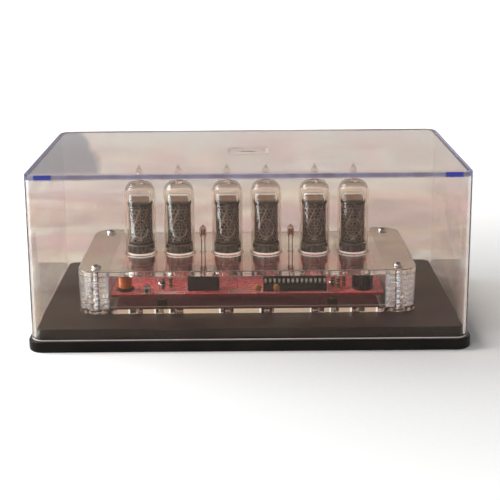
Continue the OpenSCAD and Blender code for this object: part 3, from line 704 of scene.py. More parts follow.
# %% [markdown]
# The profile of the cover runs down inside, round the foot, up outside and over the top, so that the wall
# has a real thickness: glass without thickness does not refract. The corners are rounded and the edges
# softened. A small sunk field in the top has a flat bar in its middle, where the mould was filled.

# %% Cover
foot_z, top_z = cover_low[2], cover_high[2]
CLEAR, FOOT, EDGE, SLOPE = 0, 1, 2, 3


def cover_ring(inset, z):
    return rounded_rectangle(cover_w - 2 * inset, cover_d - 2 * inset, max(CORNER - inset, 1.0), z, steps=10)


profile = [(WALL + 1.2, top_z - WALL, CLEAR), (WALL + 0.35, top_z - WALL - 0.35, CLEAR),
           (WALL, top_z - WALL - 1.2, CLEAR), (WALL, foot_z + 0.3, FOOT), (WALL - 0.3, foot_z + 0.02, FOOT),
           (0.3, foot_z + 0.02, FOOT), (0, foot_z + 0.3, FOOT), (0, foot_z + 0.7, CLEAR),
           (0, top_z - 2.4, EDGE), (0, top_z - 0.6, EDGE), (0.18, top_z - 0.18, EDGE), (0.6, top_z, EDGE),
           (1.9, top_z, CLEAR)]
rings = [cover_ring(inset, z) for inset, z, kind in profile]
kinds = [kind for inset, z, kind in profile]
RECESS_W, RECESS_D, RECESS_CORNER, RECESS_Y = 22.6, 16.0, 1.8, -1
for grow, down, kind in ((0.6, 0, SLOPE), (0.2, 0.1, SLOPE), (-0.2, 0.3, SLOPE), (-0.9, 0.5, SLOPE),
                         (-1.5, 0.6, CLEAR)):
    rings.append(rounded_rectangle(RECESS_W + 2 * grow, RECESS_D + 2 * grow, RECESS_CORNER + grow,
                                   top_z - down, 0, RECESS_Y, steps=10))
    kinds.append(kind)
BAR_W, BAR_D, BAR_CORNER, BAR_Y = 8.6, 1.6, 0.7, -1.2
for grow, down in ((0.5, 0.6), (0.1, 0.5), (-0.3, 0.45)):
    rings.append(rounded_rectangle(BAR_W + 2 * grow, BAR_D + 2 * grow, BAR_CORNER + grow / 2,
                                   top_z - down, 0, BAR_Y, steps=10))
    kinds.append(CLEAR)
shape = Shape()
loft(shape, rings, kinds[:-1])
piece("cover_moulding", shape, [clear_cover, cover_foot_highlight, cover_edge, recess_wall_reflection], ["display_cover"],
      sharp=40)

# %% [markdown]
# ## The acrylic body
# Two whole sheets and six pairs of spacers are cut from clear acrylic. Each sheet is its own body with a
# hair of air to the next, so the stack shows its layers as the real one does. The cut edge carries fine
# upright marks from the cutting. A sheet also pipes light to its front edge, where it shows as pale bars
# that the holes interrupt. Few rays find that long way, so thin pale strips just inside the edge stand for
# the bars.

# %% Acrylic finishes
acrylic = clear_finish("clear_acrylic", (0.985, 0.975, 0.96), (0.955, 0.945, 0.93), patch=0.02, ior=1.49,
                       wave=0.01, bump=0.05)
acrylic_cut = clear_finish("acrylic_cut_edge", (0.97, 0.94, 0.91), (0.90, 0.87, 0.84), patch=0.0016,
                           ior=1.49, wave=0.0005, bump=0.25, stretch=(1, 1, 0.06), rough=0.03)
top_acrylic = clear_finish("top_acrylic", (0.985, 0.975, 0.96), (0.955, 0.945, 0.93), patch=0.02, ior=1.55,
                           wave=0.01, bump=0.05, rim=(0.38, 0.58, 0.57), rim_from=0.35, mirror=0.55)
stack_cut = clear_finish("stack_cut_edge", (0.90, 0.97, 1.0), (0.74, 0.80, 0.86), patch=0.0010, ior=1.49,
                         wave=0.0007, bump=1.0, stretch=(1, 1, 0.45), rough=0.02)
light_bar = finish("light_bar", (0.88, 0.78, 0.68), (0.76, 0.66, 0.56), patch=0.006, rough=(0.2, 0.3),
                   bump=0.05, Emission_Color=(0.90, 0.74, 0.58, 1), Emission_Strength=0.62)
bar_end = finish("bar_end", (0.95, 0.96, 1.0), (0.85, 0.88, 0.95), patch=0.002, rough=(0.15, 0.3),
                 grain=0.0004, bump=0.05, Emission_Color=(0.92, 0.96, 1.0, 1), Emission_Strength=1.3)
frosted_rim = finish("frosted_rim", (0.86, 0.86, 0.88), (0.66, 0.64, 0.64), patch=0.0035,
                     rough=(0.15, 0.3), grain=0.0004, bump=0.2)

# %% [markdown]
# Where the holes and screws stand is read from the boxes of the CAD nodes, so the dressed sheets fit the
# solids. Both sheets share one outline: rounded corners, and a rear edge that is set back between the two
# ends.

# %% Places and outline of the sheets
SCREW_HEAD_R, STANDOFF_HEAD_R, LAMP_R = 2.85, 2.7, 2.05
END_W, REAR_STEP, BODY_CORNER = 17.7, 8.0, 10.0
SCREW_HOLE, TUBE_HOLE, WIRE_HOLE, STANDOFF_HOLE = 1.7, 9.35, 3, 1.65
TUBES = range(1, 7)
plate_low, plate_high = extent("top_plate")
bottom_low, bottom_high = extent("bottom_plate")
screw_low, screw_high = extent("stack_screws")
board_low, board_high = extent("circuit_board")
tube_boxes = [extent(f"tube_{i}_glass") for i in TUBES]
tube_x = [(a[0] + b[0]) / 2 for a, b in tube_boxes]
clock_x = (plate_low[0] + plate_high[0]) / 2
body_w, body_front, body_rear = plate_high[0] - plate_low[0], plate_low[1], plate_high[1]
window = body_w / 2 - END_W
screw_x = (screw_high[0] - screw_low[0]) / 2 - SCREW_HEAD_R
screw_y = (screw_low[1] + SCREW_HEAD_R, screw_high[1] - SCREW_HEAD_R)
screw_at = [(clock_x + s * screw_x, y) for s in (-1, 1) for y in screw_y]
low, high = extent("board_screws")
standoff_at = [(x, y) for x in (low[0] + STANDOFF_HEAD_R, high[0] - STANDOFF_HEAD_R)
               for y in (low[1] + STANDOFF_HEAD_R, high[1] - STANDOFF_HEAD_R)]
lamp_low, lamp_high = extent("neon_lamp_bulbs")
lamp_at = [lamp_low[0] + LAMP_R, lamp_high[0] - LAMP_R]
screw_holes = [circle(x, y, SCREW_HOLE, 24) for x, y in screw_at]


def arc_points(cx, cy, r, start, end, steps=8):
    return [(cx + r * cos(radians(start + (end - start) * k / steps)),
             cy + r * sin(radians(start + (end - start) * k / steps))) for k in range(steps + 1)]


def sheet_outline():
    x0, x1, r, s = clock_x - body_w / 2, clock_x + body_w / 2, BODY_CORNER, 0.8
    ear = body_rear - REAR_STEP
    a, b = clock_x - window, clock_x + window
    return (arc_points(x0 + r, body_front + r, r, 180, 270) + arc_points(x1 - r, body_front + r, r, 270, 360)
            + arc_points(x1 - r, body_rear - r, r, 0, 90) + arc_points(b + s, body_rear - s, s, 90, 180, 3)
            + arc_points(b - s, ear + s, s, 0, -90, 3) + arc_points(a + s, ear + s, s, 270, 180, 3)
            + arc_points(a - s, body_rear - s, s, 0, 90, 3)
            + arc_points(x0 + r, body_rear - r, r, 90, 180))


print("tubes at x:", [round(x, 2) for x in tube_x])

# %% [markdown]
# The bottom sheet has a hexagonal cut-out for each nut. Its light bars stand between the holes, each with a
# bright end. The top sheet has a hole for each tube and lamp, and a thin frosted rim lies along its edge.

# %% Bottom and top sheet
sheet_low, sheet_high = bottom_low[2], bottom_high[2]
shape = Shape()
holes = [circle(x, y, 5.8 / 2 / cos(pi / 6), 6, pi / 6) for x, y in screw_at]
holes += [circle(x, y, STANDOFF_HOLE, 24) for x, y in standoff_at]
holes += [circle(x, 0, WIRE_HOLE, 32) for x in tube_x]
plate(shape, sheet_outline(), holes, sheet_low + 0.03, sheet_high - 0.03)
block(shape, (clock_x - window, -34.2, sheet_high - 0.10), (clock_x + window, -33.7, sheet_high - 0.04),
      0.02, 2)
blocked = sorted([(x - 3.6, x + 3.6) for x in tube_x] + [(x - 2.2, x + 2.2) for x, y in standoff_at[::2]])
bar_ends = [clock_x - window + 4.5] + [edge for pair in blocked for edge in pair] + [clock_x + window - 4.5]
for a, b in zip(bar_ends[::2], bar_ends[1::2]):
    if b - a > 2:
        block(shape, (a, body_front + 0.25, sheet_low + 0.3), (b, body_front + 0.45, sheet_high - 0.35),
              0.08, 2)
        block(shape, (b - 0.9, body_front + 0.20, sheet_low + 0.3),
              (b, body_front + 0.40, sheet_high - 0.3), 0.08, 3)
piece("bottom_sheet", shape, [acrylic, acrylic_cut, light_bar, bar_end], ["bottom_plate"],
      sharp=25)

shape = Shape()
holes = [circle(x, 0, TUBE_HOLE, 64) for x in tube_x] + [circle(x, 0, 1.7, 24) for x in lamp_at]
plate(shape, sheet_outline(), holes + screw_holes, plate_low[2] + 0.02, plate_high[2] - 0.04, bevel=0.25)
bands = [at_height(drawn_in(sheet_outline(), inset), plate_high[2] - down)
         for inset, down in ((0.3, 0.03), (0.3, 0.005), (0.85, 0.005), (0.85, 0.03))]
loft(shape, bands, 2, bottom=False, top=False)
piece("top_sheet", shape, [top_acrylic, acrylic_cut, frosted_rim], ["top_plate"], sharp=25)

# %% [markdown]
# The spacers come in pairs, one for each end of the clock. Their outer corners are as round as the sheets',
# and the inner ones nearly square.

# %% Spacers
ROUND, SQUARE = (BODY_CORNER, 8), (0.4, 3)
for i in range(1, 7):
    low, high = extent(f"end_layer_{i}")
    shape = Shape()
    for side in (-1, 1):
        x0, x1 = sorted((clock_x + side * body_w / 2, clock_x + side * window))
        (r, r_steps), (s, s_steps) = (ROUND, SQUARE) if side < 0 else (SQUARE, ROUND)
        outline = (arc_points(x0 + r, body_front + r, r, 180, 270, r_steps)
                   + arc_points(x1 - s, body_front + s, s, 270, 360, s_steps)
                   + arc_points(x1 - s, body_rear - s, s, 0, 90, s_steps)
                   + arc_points(x0 + r, body_rear - r, r, 90, 180, r_steps))
        holes = screw_holes[:2] if side < 0 else screw_holes[2:]
        plate(shape, outline, holes, low[2] + 0.012, high[2] - 0.012, bevel=0.07)
    piece(f"spacer_pair_{i}", shape, [acrylic, stack_cut], [f"end_layer_{i}"], sharp=25)

# %% [markdown]
# ## Screws, nuts and stand-offs
# Long screws clamp the stack, and their threads glitter through the acrylic, so the threads are real here:
# the radius follows the turn of the screw. A bump map could not change the outline that the clear block
# magnifies. The bright bands of the thread carry a painted glint: a pale blue white with a light of its own.

# %% Screws with real threads
screw_steel = finish("screw_steel", (0.84, 0.84, 0.85), (0.68, 0.68, 0.68), patch=0.002,
                     rough=(0.14, 0.28), grain=0.0003, bump=0.12, Metallic=1.0)
socket_dark = finish("socket_dark", (0.07, 0.07, 0.07), (0.12, 0.12, 0.12), patch=0.001,
                     rough=(0.4, 0.6), grain=0.0002, Metallic=0.8)
# The bright thread is a painted glint: blue white, with a light of its own.
thread_glint = finish("thread_glint", (0.96, 0.98, 1.0), (0.86, 0.90, 0.96), patch=0.002,
                       rough=(0.25, 0.4), grain=0.0003, bump=0.1, Metallic=0.1, Coat_Weight=0.6,
                       Coat_Roughness=0.08, Emission_Color=(0.86, 0.94, 1.0, 1), Emission_Strength=0.9)
THREAD_R, CORE_THREAD_R, THREAD_LEAD, NUT_FLATS = 1.5, 1.22, 0.8, 5.5


def threaded_rod(shape, x, y, z0, z1, finish, steps=18):
    """A rod whose radius rises and falls once in every lead, with dark bands between bands of painted glint.
    """
    rows = int((z1 - z0) / (THREAD_LEAD / 4))
    rings = []
    for row in range(rows + 1):
        z = z0 + (z1 - z0) * row / rows
        ring = []
        for k in range(steps):
            phase = ((z - z0) / THREAD_LEAD - k / steps) % 1
            r = CORE_THREAD_R + (THREAD_R - CORE_THREAD_R) * (1 - abs(2 * phase - 1))
            ring.append((x + r * cos(2 * pi * k / steps), y + r * sin(2 * pi * k / steps), z))
        rings.append(ring)
    loft(shape, rings, [finish if row % 8 < 5 else 0 for row in range(rows)])


def hexagon(x, y, flats, steps, most=10):
    """Many points round a hexagon, cut off where they lie further out than most."""
    loop = []
    for k in range(steps):
        a = 2 * pi * k / steps
        r = min(flats / 2 / cos((a % (pi / 3)) - pi / 6), most)
        loop.append((x + r * cos(a), y + r * sin(a)))
    return loop


shape = Shape()
head_z, head_top = plate_high[2], screw_high[2]
head_h = head_top - head_z
HEAD = ((2.7, 0.03), (2.85, 0.2), (2.82, 0.5), (2.6, 0.95), (2.2, 1.32), (1.7, head_h - 0.04), (1.45, head_h))
for x, y in screw_at:
    threaded_rod(shape, x, y, screw_low[2], head_z + 0.1, 2)
    rings = [at_height(circle(x, y, r, 24), head_z + z) for r, z in HEAD]
    rings.append(at_height(hexagon(x, y, 2.0, 24), head_top - 0.12))
    rings.append(at_height(hexagon(x, y, 1.9, 24), head_top - 1.0))
    loft(shape, rings, [0] * 7 + [1])
piece("stack_screw_set", shape, [screw_steel, socket_dark, thread_glint], ["stack_screws"])

shape = Shape()
low, high = extent("stack_nuts")
for x, y in screw_at:
    bore = [at_height(circle(x, y, 1.6), z) for z in (low[2], high[2])]
    sides = [at_height(hexagon(x, y, NUT_FLATS, 36, most), z) for most, z in
             ((2.75, low[2]), (3.3, low[2] + 0.35), (3.3, high[2] - 0.35), (2.75, high[2]))]
    loft(shape, [bore[0]] + sides + [bore[1], bore[0]], 0, bottom=False, top=False)
piece("stack_nut_set", shape, [screw_steel], ["stack_nuts"])

# %% [markdown]
# Turned stand-offs carry the board. A screw with a cross recess holds the board down on each, and another
# comes up from the bottom sheet.

# %% Stand-offs and their screws
brass = finish("standoff_brass", (0.20, 0.15, 0.085), (0.12, 0.09, 0.05), patch=0.003, rough=(0.22, 0.4),
               grain=0.0003, bump=0.1, Metallic=1.0)
shape = Shape()
low, high = extent("board_standoffs")
z0, z1 = low[2], high[2]
for x, y in standoff_at:
    lathe(shape, [(1.5, z0), (2.6, z0), (3.0, z0 + 0.4), (3.0, z0 + 1.6), (2.85, z0 + 1.8), (2.85, z1 - 1.8),
                  (3.0, z1 - 1.6), (3.0, z1 - 0.4), (2.6, z1), (1.5, z1), (1.5, z0)], x, y)
piece("standoff_set", shape, [brass], ["board_standoffs"])
shape = Shape()
for x, y in standoff_at:
    z = board_high[2]
    lathe(shape, [(0, z - 4.2), (1.2, z - 4.2), (1.45, z - 3.9), (1.45, z), (2.5, z), (2.7, z + 0.25),
                  (2.6, z + 0.9), (2.1, z + 1.55), (1.3, z + 1.9), (0, z + 1.9)], x, y)
    for turned in (0, pi / 2):
        spin = Matrix.Translation((x, y, z + 1.72)) @ Matrix.Rotation(turned, 4, "Z")
        block(shape, (-1.4, -0.28, 0.0), (1.4, 0.28, 0.19), 0.05, 1, turn=spin)
    z = bottom_low[2]
    lathe(shape, [(0, z + 0.1), (2.5, z + 0.1), (2.7, z + 0.35), (2.7, z + 1.3), (1.6, z + 1.5),
                  (1.45, z + 1.7), (1.45, z + 5.6), (1.2, z + 5.7), (0, z + 5.7)], x, y)
piece("board_screw_set", shape, [screw_steel, socket_dark], ["board_screws"])

# %% [markdown]
# ## The circuit board
# The board is red solder mask over glass fibre. Its darker specks are painted shade, its paler specks are
# partly vias and partly painted glints, and it has a faint painted glow of its own, for the light that the
# clear sheets gather on it. Its cut edge is duller.

# %% Board finishes
# Painted light on the mask: dark specks of shade, pale specks that are partly glints, and a faint glow.
red_mask = finish("red_mask", (0.95, 0.105, 0.115), (0.74, 0.055, 0.065), patch=0.006, rough=(0.28, 0.42),
                  grain=0.0004, bump=0.08, Specular_IOR_Level=0.35,
                  Emission_Color=(0.95, 0.30, 0.32, 1), Emission_Strength=0.13,
                  specks=((0.0032, 0.58, (0.24, 0.022, 0.028)), (0.0010, 0.65, (0.90, 0.70, 0.66))))
board_cut = finish("board_cut_edge", (0.58, 0.12, 0.12), (0.44, 0.08, 0.08), patch=0.0012,
                   rough=(0.5, 0.7), grain=0.0002, bump=0.3, stretch=(1, 1, 0.2))
red_track = finish("red_track", (0.66, 0.07, 0.07), (0.55, 0.05, 0.055), patch=0.003, rough=(0.22, 0.34),
                   grain=0.0004, bump=0.08)
legend_white = finish("legend_white", (0.95, 0.92, 0.90), (0.84, 0.81, 0.79), patch=0.001,
                      rough=(0.6, 0.8), grain=0.0001, bump=0.2)
tinned = finish("tinned_wire", (0.90, 0.88, 0.86), (0.76, 0.74, 0.72), patch=0.001, rough=(0.22, 0.38),
                grain=0.0002, Metallic=0.5)

# %% [markdown]
# Thin printed outlines mark the parts, copper tracks show as slightly raised lines, and a tinned ring
# surrounds each lead. No words are printed here. All the lines are strips: a low block is laid along each
# stretch of a path, which is simpler than a painted picture and stays sharp from close by.

# %% The board and its printed outlines
PITCH = 2.54
top = board_high[2]
board_front, board_rear = board_low[1], board_high[1]
shape = Shape()
outline = [(x, y) for x, y, _ in rounded_rectangle(
    board_high[0] - board_low[0], board_rear - board_front, 1.0, 0, *middle("circuit_board")[:2], 4)]
plate(shape, outline, [circle(x, y, 1.6, 24) for x, y in standoff_at], board_low[2], top, bevel=0.08)


def strip(shape, path, width, height=0.04, finish=3):
    """A flat line on the board along a path of (x, y) points, printed if nothing else is said."""
    for (ax, ay), (bx, by) in zip(path, path[1:]):
        long = Vector((bx - ax, by - ay))
        if long.length < 1e-6:
            continue
        side = Vector((-long.y, long.x)).normalized() * width / 2
        reach = long.normalized() * width / 2
        base = [(ax - reach.x + side.x, ay - reach.y + side.y),
                (ax - reach.x - side.x, ay - reach.y - side.y),
                (bx + reach.x - side.x, by + reach.y - side.y),
                (bx + reach.x + side.x, by + reach.y + side.y)]
        z = top - 0.01
        loft(shape, [at_height(base, z), at_height(base, z + height)], finish)


def outline_print(low, high, grow):
    x0, x1, y1 = low[0] - grow, high[0] + grow, high[1] + grow
    y0 = max(low[1] - grow, board_front + 0.3)
    strip(shape, [(x0, y0), (x1, y0), (x1, y1), (x0, y1), (x0, y0)], 0.2)


def ring_print(x, y, r, width):
    loop = circle(x, y, r, 40)
    strip(shape, loop + loop[:1], width)


for node, grow in (("chip_socket", 0.6), ("film_capacitor", 0.5), ("cathode_driver", 0.5),
                   ("power_inlet", 0.4), ("timing_crystal", 0.5), ("set_switch_body", 0.5),
                   ("adjust_switch_body", 0.5)):
    outline_print(*extent(node), grow)
for node, r in (("reservoir_capacitor", 6.8), ("inductor_core", 5.9)):
    ring_print(*middle(node)[:2], r, 0.45)
for x in tube_x:
    ring_print(x, 0, 8.2, 0.2)
print("faces of the board so far:", len(shape.faces))

# %% [markdown]
# Two printed frames hold rows of plain marks where a real board would have words. The tracks leave every
# second tube lead towards the nearer edge and bend once. Their lengths come from a random generator with a
# fixed seed, so they are the same in every run.

# %% Frames, pads and tracks
chip_low, chip_high = extent("chip_socket")
switch_x = middle("set_switch_body")[0]
LEADS, LEAD_RING_R = 12, 5.5


def printed_frame(x0, x1, y0, y1):
    """A printed box, with broader lines where the eye sees them foreshortened, and marks inside."""
    for y in (y0, y1):
        strip(shape, [(x0, y), (x1, y)], 0.75)
    for x in (x0, x1):
        strip(shape, [(x, y0), (x, y1)], 0.35)
    y = (y0 + y1) / 2
    for k in range(int((x1 - x0 - 5) / 1.5)):
        x = x0 + 2.2 + 1.5 * k
        strip(shape, [(x, y), (x + 0.3 + 0.4 * (k % 2), y)], 1.1)


def track(path):
    strip(shape, path, 0.3, 0.03, 2)


printed_frame(chip_low[0] - 19.5, chip_low[0] - 1.2, board_front + 1.4, board_front + 8.0)
printed_frame(switch_x + 4.5, switch_x + 21, board_front + 0.9, board_front + 4.4)
for k in range(22):
    x = chip_low[0] + 1.5 + 1.7 * k
    strip(shape, [(x, board_front + 1.0), (x + 0.7, board_front + 1.0)], 0.6)
pads = [(tube_x[1] + 4 + 1.6 * k, board_front + 17) for k in range(8)]
pads += [(tube_x[3] + 3 + 2.2 * k, 12.5) for k in range(7)]
pads += [(tube_x[2] + 2 + PITCH * k, board_front + 8.5 + 1.7 * (k % 2)) for k in range(7)]
for x, y in pads:
    lathe(shape, [(0, top), (0.55, top), (0.5, top + 0.1), (0, top + 0.16)], x, y, 14, 3)

rng = random.Random(7)
lead_angles = [radians(15 + 30 * k) for k in range(LEADS)]
leads = [(x + LEAD_RING_R * cos(a), LEAD_RING_R * sin(a)) for x in tube_x for a in lead_angles]
for x, y in leads:
    lathe(shape, [(0.45, top - 0.01), (0.85, top - 0.01), (0.8, top + 0.06), (0.45, top + 0.14)], x, y, 14, 4)
for x, y in leads[::2]:
    end = y + (1 if y > 0 else -1) * rng.uniform(6, 22)
    end = max(board_front + 3, min(board_rear - 3, end))
    bend = x + rng.choice((-1, 1)) * rng.uniform(1, 4)
    half_way = (y + end) / 2
    track([(x, y), (x, half_way), (bend, half_way + (bend - x) * 0.3), (bend, end)])
for k in range(14):
    x = chip_low[0] + 1.3 + PITCH * k
    y = board_front + rng.uniform(14, 21)
    track([(x, chip_high[1] - 2), (x, y), (x + rng.uniform(-4, 4), y + 3)])
piece("red_board", shape, [red_mask, board_cut, red_track, legend_white, tinned], ["circuit_board"])

# %% [markdown]
# ## The tubes
# A tube is a glass bulb with a drawn pip, where the air was pumped out. All six are alike, so each part of
# a tube is made once, round the upright line at the origin, and shared. The bulb has an outer and an inner
# face, because light bends at both.

# %% Glass bulbs
pip_glass = clear_finish("pip_glass", (0.82, 0.66, 0.56), (0.66, 0.50, 0.41), patch=0.003, ior=1.5,
                         bump=0.2, shade=0.9, rim=(0.36, 0.26, 0.20))
tube_glass = clear_finish("tube_glass", (0.95, 0.91, 0.87), (0.90, 0.85, 0.80), patch=0.008, ior=1.5,
                          wave=0.010, bump=0.3, shade=0.97, gloss=(0.75, 0.72, 0.70),
                          rim=(0.44, 0.34, 0.27))
glass_low, glass_high = tube_boxes[0]
foot, tip = glass_low[2], glass_high[2]
GLASS = 0.9
R = (glass_high[0] - glass_low[0]) / 2
bore = R - GLASS
dome, dome_top = foot + 39.0, foot + 46.2
outer = [(bore, foot), (R - 0.3, foot), (R, foot + 0.3), (R, dome)]
outer += [(2.6 + (R - 2.6) * cos(radians(a)), dome + 7.0 * sin(radians(a))) for a in range(9, 82, 9)]
outer += [(r, dome_top + up) for r, up in (
    (2.75, -0.25), (2.30, 0.15), (2.16, 0.7), (2.15, 1.8), (2.15, 2.9), (2.02, 3.9), (1.68, 4.8),
    (1.15, 5.6), (0.70, 6.3), (0.44, 7.0), (0.26, 7.5))]
outer.append((0, tip))
inner = [(r, dome_top + up) for r, up in ((0, 3.2), (0.55, 2.8), (0.95, 1.6), (1.15, -0.4), (1.9, -1.6))]
inner += [(1.9 + (bore - 1.9) * cos(radians(a)), dome + 5.5 * sin(radians(a))) for a in range(81, 0, -9)]
inner += [(bore, dome), (bore, foot)]
shape = Shape()
lathe(shape, outer, steps=48, finish=[1 if z > dome_top - 0.3 else 0 for r, z in outer[:-1]])
lathe(shape, inner, steps=48)
glass_mesh = shape.mesh("bulb", [tube_glass, pip_glass], 60)


def one_per_tube(suffix, mesh, node):
    return [piece(f"tube_{i}_{suffix}", mesh, None, [f"tube_{i}_{node}"], at=(x, 0, 0))
            for i, x in enumerate(tube_x, 1)]


one_per_tube("bulb", glass_mesh, "glass")

# %% [markdown]
# The bulb is closed below by a pressed glass stem, dark from the sealing, with a ring of leads. The leads
# run through it down to the board. Where stem and bulb were fused, a rounded bead of glass runs round the
# foot. Its near white colour and its light of its own are a painted highlight.

# %% Stems and leads
stem_glass = finish("stem_glass", (0.014, 0.016, 0.020), (0.20, 0.20, 0.22), patch=0.0018,
                    rough=(0.08, 0.2), grain=0.0012, bump=0.3, stretch=(1, 1, 0.3), Coat_Weight=0.5,
                    Coat_Roughness=0.04)
stem_band = finish("stem_band", (0.42, 0.40, 0.38), (0.30, 0.29, 0.28), patch=0.002, rough=(0.15, 0.3),
                   grain=0.0006, Coat_Weight=0.5)
# The bead's finish is a painted highlight: near white, with a light of its own.
bead_highlight = finish("bead_highlight", (0.98, 0.97, 0.97), (0.86, 0.84, 0.84), patch=0.003, rough=(0.08, 0.2),
                    grain=0.0006, Coat_Weight=1.0, Coat_Roughness=0.03,
                    Emission_Color=(1.0, 0.97, 0.95, 1), Emission_Strength=0.9)
low, high = extent("tube_1_stem")
stem_r, stem_top = (high[0] - low[0]) / 2 - 0.02, high[2]
base = foot + 2.8
shape = Shape()
lathe(shape, [(0, base + 0.9), (4.2, base + 0.6), (stem_r - 1.0, base), (stem_r - 0.2, base + 0.1),
              (stem_r, base + 1.25), (stem_r, stem_top - 1.5), (stem_r - 0.25, stem_top - 1.1),
              (stem_r - 0.1, stem_top - 0.75), (stem_r - 0.6, stem_top - 0.3), (6.2, stem_top - 0.05),
              (3, stem_top - 0.6), (0, stem_top - 0.6)],
      steps=48, finish=[0, 0, 3, 3, 0, 0, 1, 1, 0, 0, 0])
for a in lead_angles:
    x, y = LEAD_RING_R * cos(a), LEAD_RING_R * sin(a)
    wire(shape, [(x, y, top), (x, y, base + 0.6)], 0.28, 8, 2)
    lathe(shape, [(0.75, base + 0.4), (0.6, base - 0.3), (0.3, base - 0.9)], x, y, 10, 0)
stem_mesh = shape.mesh("stem", [stem_glass, stem_band, tinned, bead_highlight], 40)
one_per_tube("foot", stem_mesh, "stem")

# %% [markdown]
# The anode is a fine honeycomb net bent to a half round in front of the numerals. The net is drawn flat,
# cell by cell, and wrapped round the axis, and a Solidify modifier gives the wire its thickness later on.

# %% Anode net
net_metal = finish("anode_net", (0.50, 0.42, 0.36), (0.30, 0.25, 0.21), patch=0.002, rough=(0.35, 0.5),
                   grain=0.0002, bump=0.1, Metallic=0.5)
cage_low, cage_high = extent("tube_1_anode_cage")
CAGE_R, CAGE_H, NET_ANGLE = 6.7, 23.4, 105
CELL, NET_WIRE, CELL_STRETCH = 2.15, 0.42, 1.05
cage_z = cage_low[2]
mica_z = cage_z + CAGE_H


def honeycomb(shape, radius, z0, z1):
    """Six-sided cells on an upright round wall, up to NET_ANGLE to each side of the viewer's."""
    rows = int((z1 - z0) / (1.5 * CELL_STRETCH * CELL / sqrt(3)))
    columns = int(radians(2 * NET_ANGLE) * radius / CELL)
    c_z = (z1 - z0) / (rows * 1.5 + 0.5)
    step = radians(2 * NET_ANGLE) / (columns + 0.5)
    for row in range(rows):
        z = z0 + c_z * (1 + 1.5 * row)
        for column in range(columns):
            mid = -radians(NET_ANGLE) + step * (column + 0.5 + 0.5 * (row % 2))
            outer, hole = [], []
            for k in range(6):
                a = radians(30 + 60 * k)
                for ring, size in ((outer, 1), (hole, 1 - NET_WIRE / CELL)):
                    turn = mid + size * cos(a) * step / sqrt(3)
                    ring.append((radius * sin(turn), -radius * cos(turn), z + size * c_z * sin(a)))
            shape.add(outer + hole, [(k, (k + 1) % 6, 6 + (k + 1) % 6, 6 + k) for k in range(6)])


shape = Shape()
honeycomb(shape, CAGE_R, cage_z + 0.7, mica_z - 0.7)
print("net cells:", len(shape.faces) // 6)
net_mesh = shape.mesh("anode_net", [net_metal], 60)

# %% [markdown]
# The rest of the cage is a dark shield behind the numerals, two rings, a mica disc and a bracket above. The
# plate inside the bracket has a painted glow, a light of its own. Along the bracket's polished front edge
# runs a thin bright wire with a little light of its own: a painted highlight.

# %% Cage
shield_metal = finish("anode_shield", (0.026, 0.019, 0.016), (0.012, 0.009, 0.008), patch=0.003,
                      rough=(0.5, 0.7), grain=0.0004, Specular_IOR_Level=0.1)
# The plate inside the bracket has a painted glow: a pale colour with a light of its own.
bracket_plate_glow = finish("bracket_plate_glow", (0.90, 0.64, 0.49), (0.72, 0.50, 0.38), patch=0.002,
                        rough=(0.35, 0.5), grain=0.0003, bump=0.1, Metallic=0.1,
                        Emission_Color=(0.92, 0.62, 0.46, 1), Emission_Strength=0.14)
bracket_metal = finish("bracket_nickel", (0.95, 0.92, 0.90), (0.78, 0.74, 0.71), patch=0.002,
                       rough=(0.18, 0.3), grain=0.0003, bump=0.1, Metallic=0.55)
# The rim wire is a painted highlight: near white, with a light of its own.
bracket_rim_highlight = finish("bracket_rim_highlight", (0.97, 0.97, 1.0), (0.84, 0.84, 0.86), patch=0.001,
                     rough=(0.15, 0.25), grain=0.0002, Emission_Color=(0.92, 0.94, 1.0, 1),
                     Emission_Strength=0.7)
mica = finish("mica_disc", (0.008, 0.007, 0.006), (0.02, 0.016, 0.013), patch=0.002, rough=(0.4, 0.55),
              grain=0.0004, Specular_IOR_Level=0.2)
SHIELD, BRACKET, MICA, NET, BACK_PLATE, RIM_HIGHLIGHT = range(6)
MICA_R = (cage_high[0] - cage_low[0]) / 2


def on_cage(radius, a):
    """The place at an angle from the viewer's side, on a round wall about the tube's axis."""
    return radius * sin(a), -radius * cos(a)


def upright(shape, x, y, thickness, sides):
    wire(shape, [(x, y, cage_z + 0.6), (x, y, mica_z - 0.6)], thickness, sides, SHIELD)


shape = Shape()
for z in (cage_z, mica_z - 0.8):
    lathe(shape, [(CAGE_R - 0.3, z), (CAGE_R + 0.3, z), (CAGE_R + 0.35, z + 0.4), (CAGE_R + 0.3, z + 0.8),
                  (CAGE_R - 0.3, z + 0.8), (CAGE_R - 0.3, z)], steps=48, finish=SHIELD)
arc_steps = [radians(100 + 160 * k / 24) for k in range(25)]
back = [on_cage(CAGE_R - 0.25, a) for a in arc_steps]
back += [on_cage(CAGE_R - 0.10, a) for a in reversed(arc_steps)]
loft(shape, [at_height(back, z) for z in (cage_z + 0.8, mica_z - 0.8)], SHIELD)
for k in range(9):
    upright(shape, *on_cage(CAGE_R + 0.1, radians(108 + 18 * k)), 0.2, 6)
for side in (-1, 1):
    upright(shape, *on_cage(CAGE_R, radians(104 * side)), 0.28, 8)
lathe(shape, [(0, mica_z + 0.02), (MICA_R - 0.15, mica_z + 0.02), (MICA_R, mica_z + 0.15),
              (MICA_R, mica_z + 0.45), (MICA_R - 0.15, mica_z + 0.58), (0, mica_z + 0.58)],
      steps=48, finish=MICA)

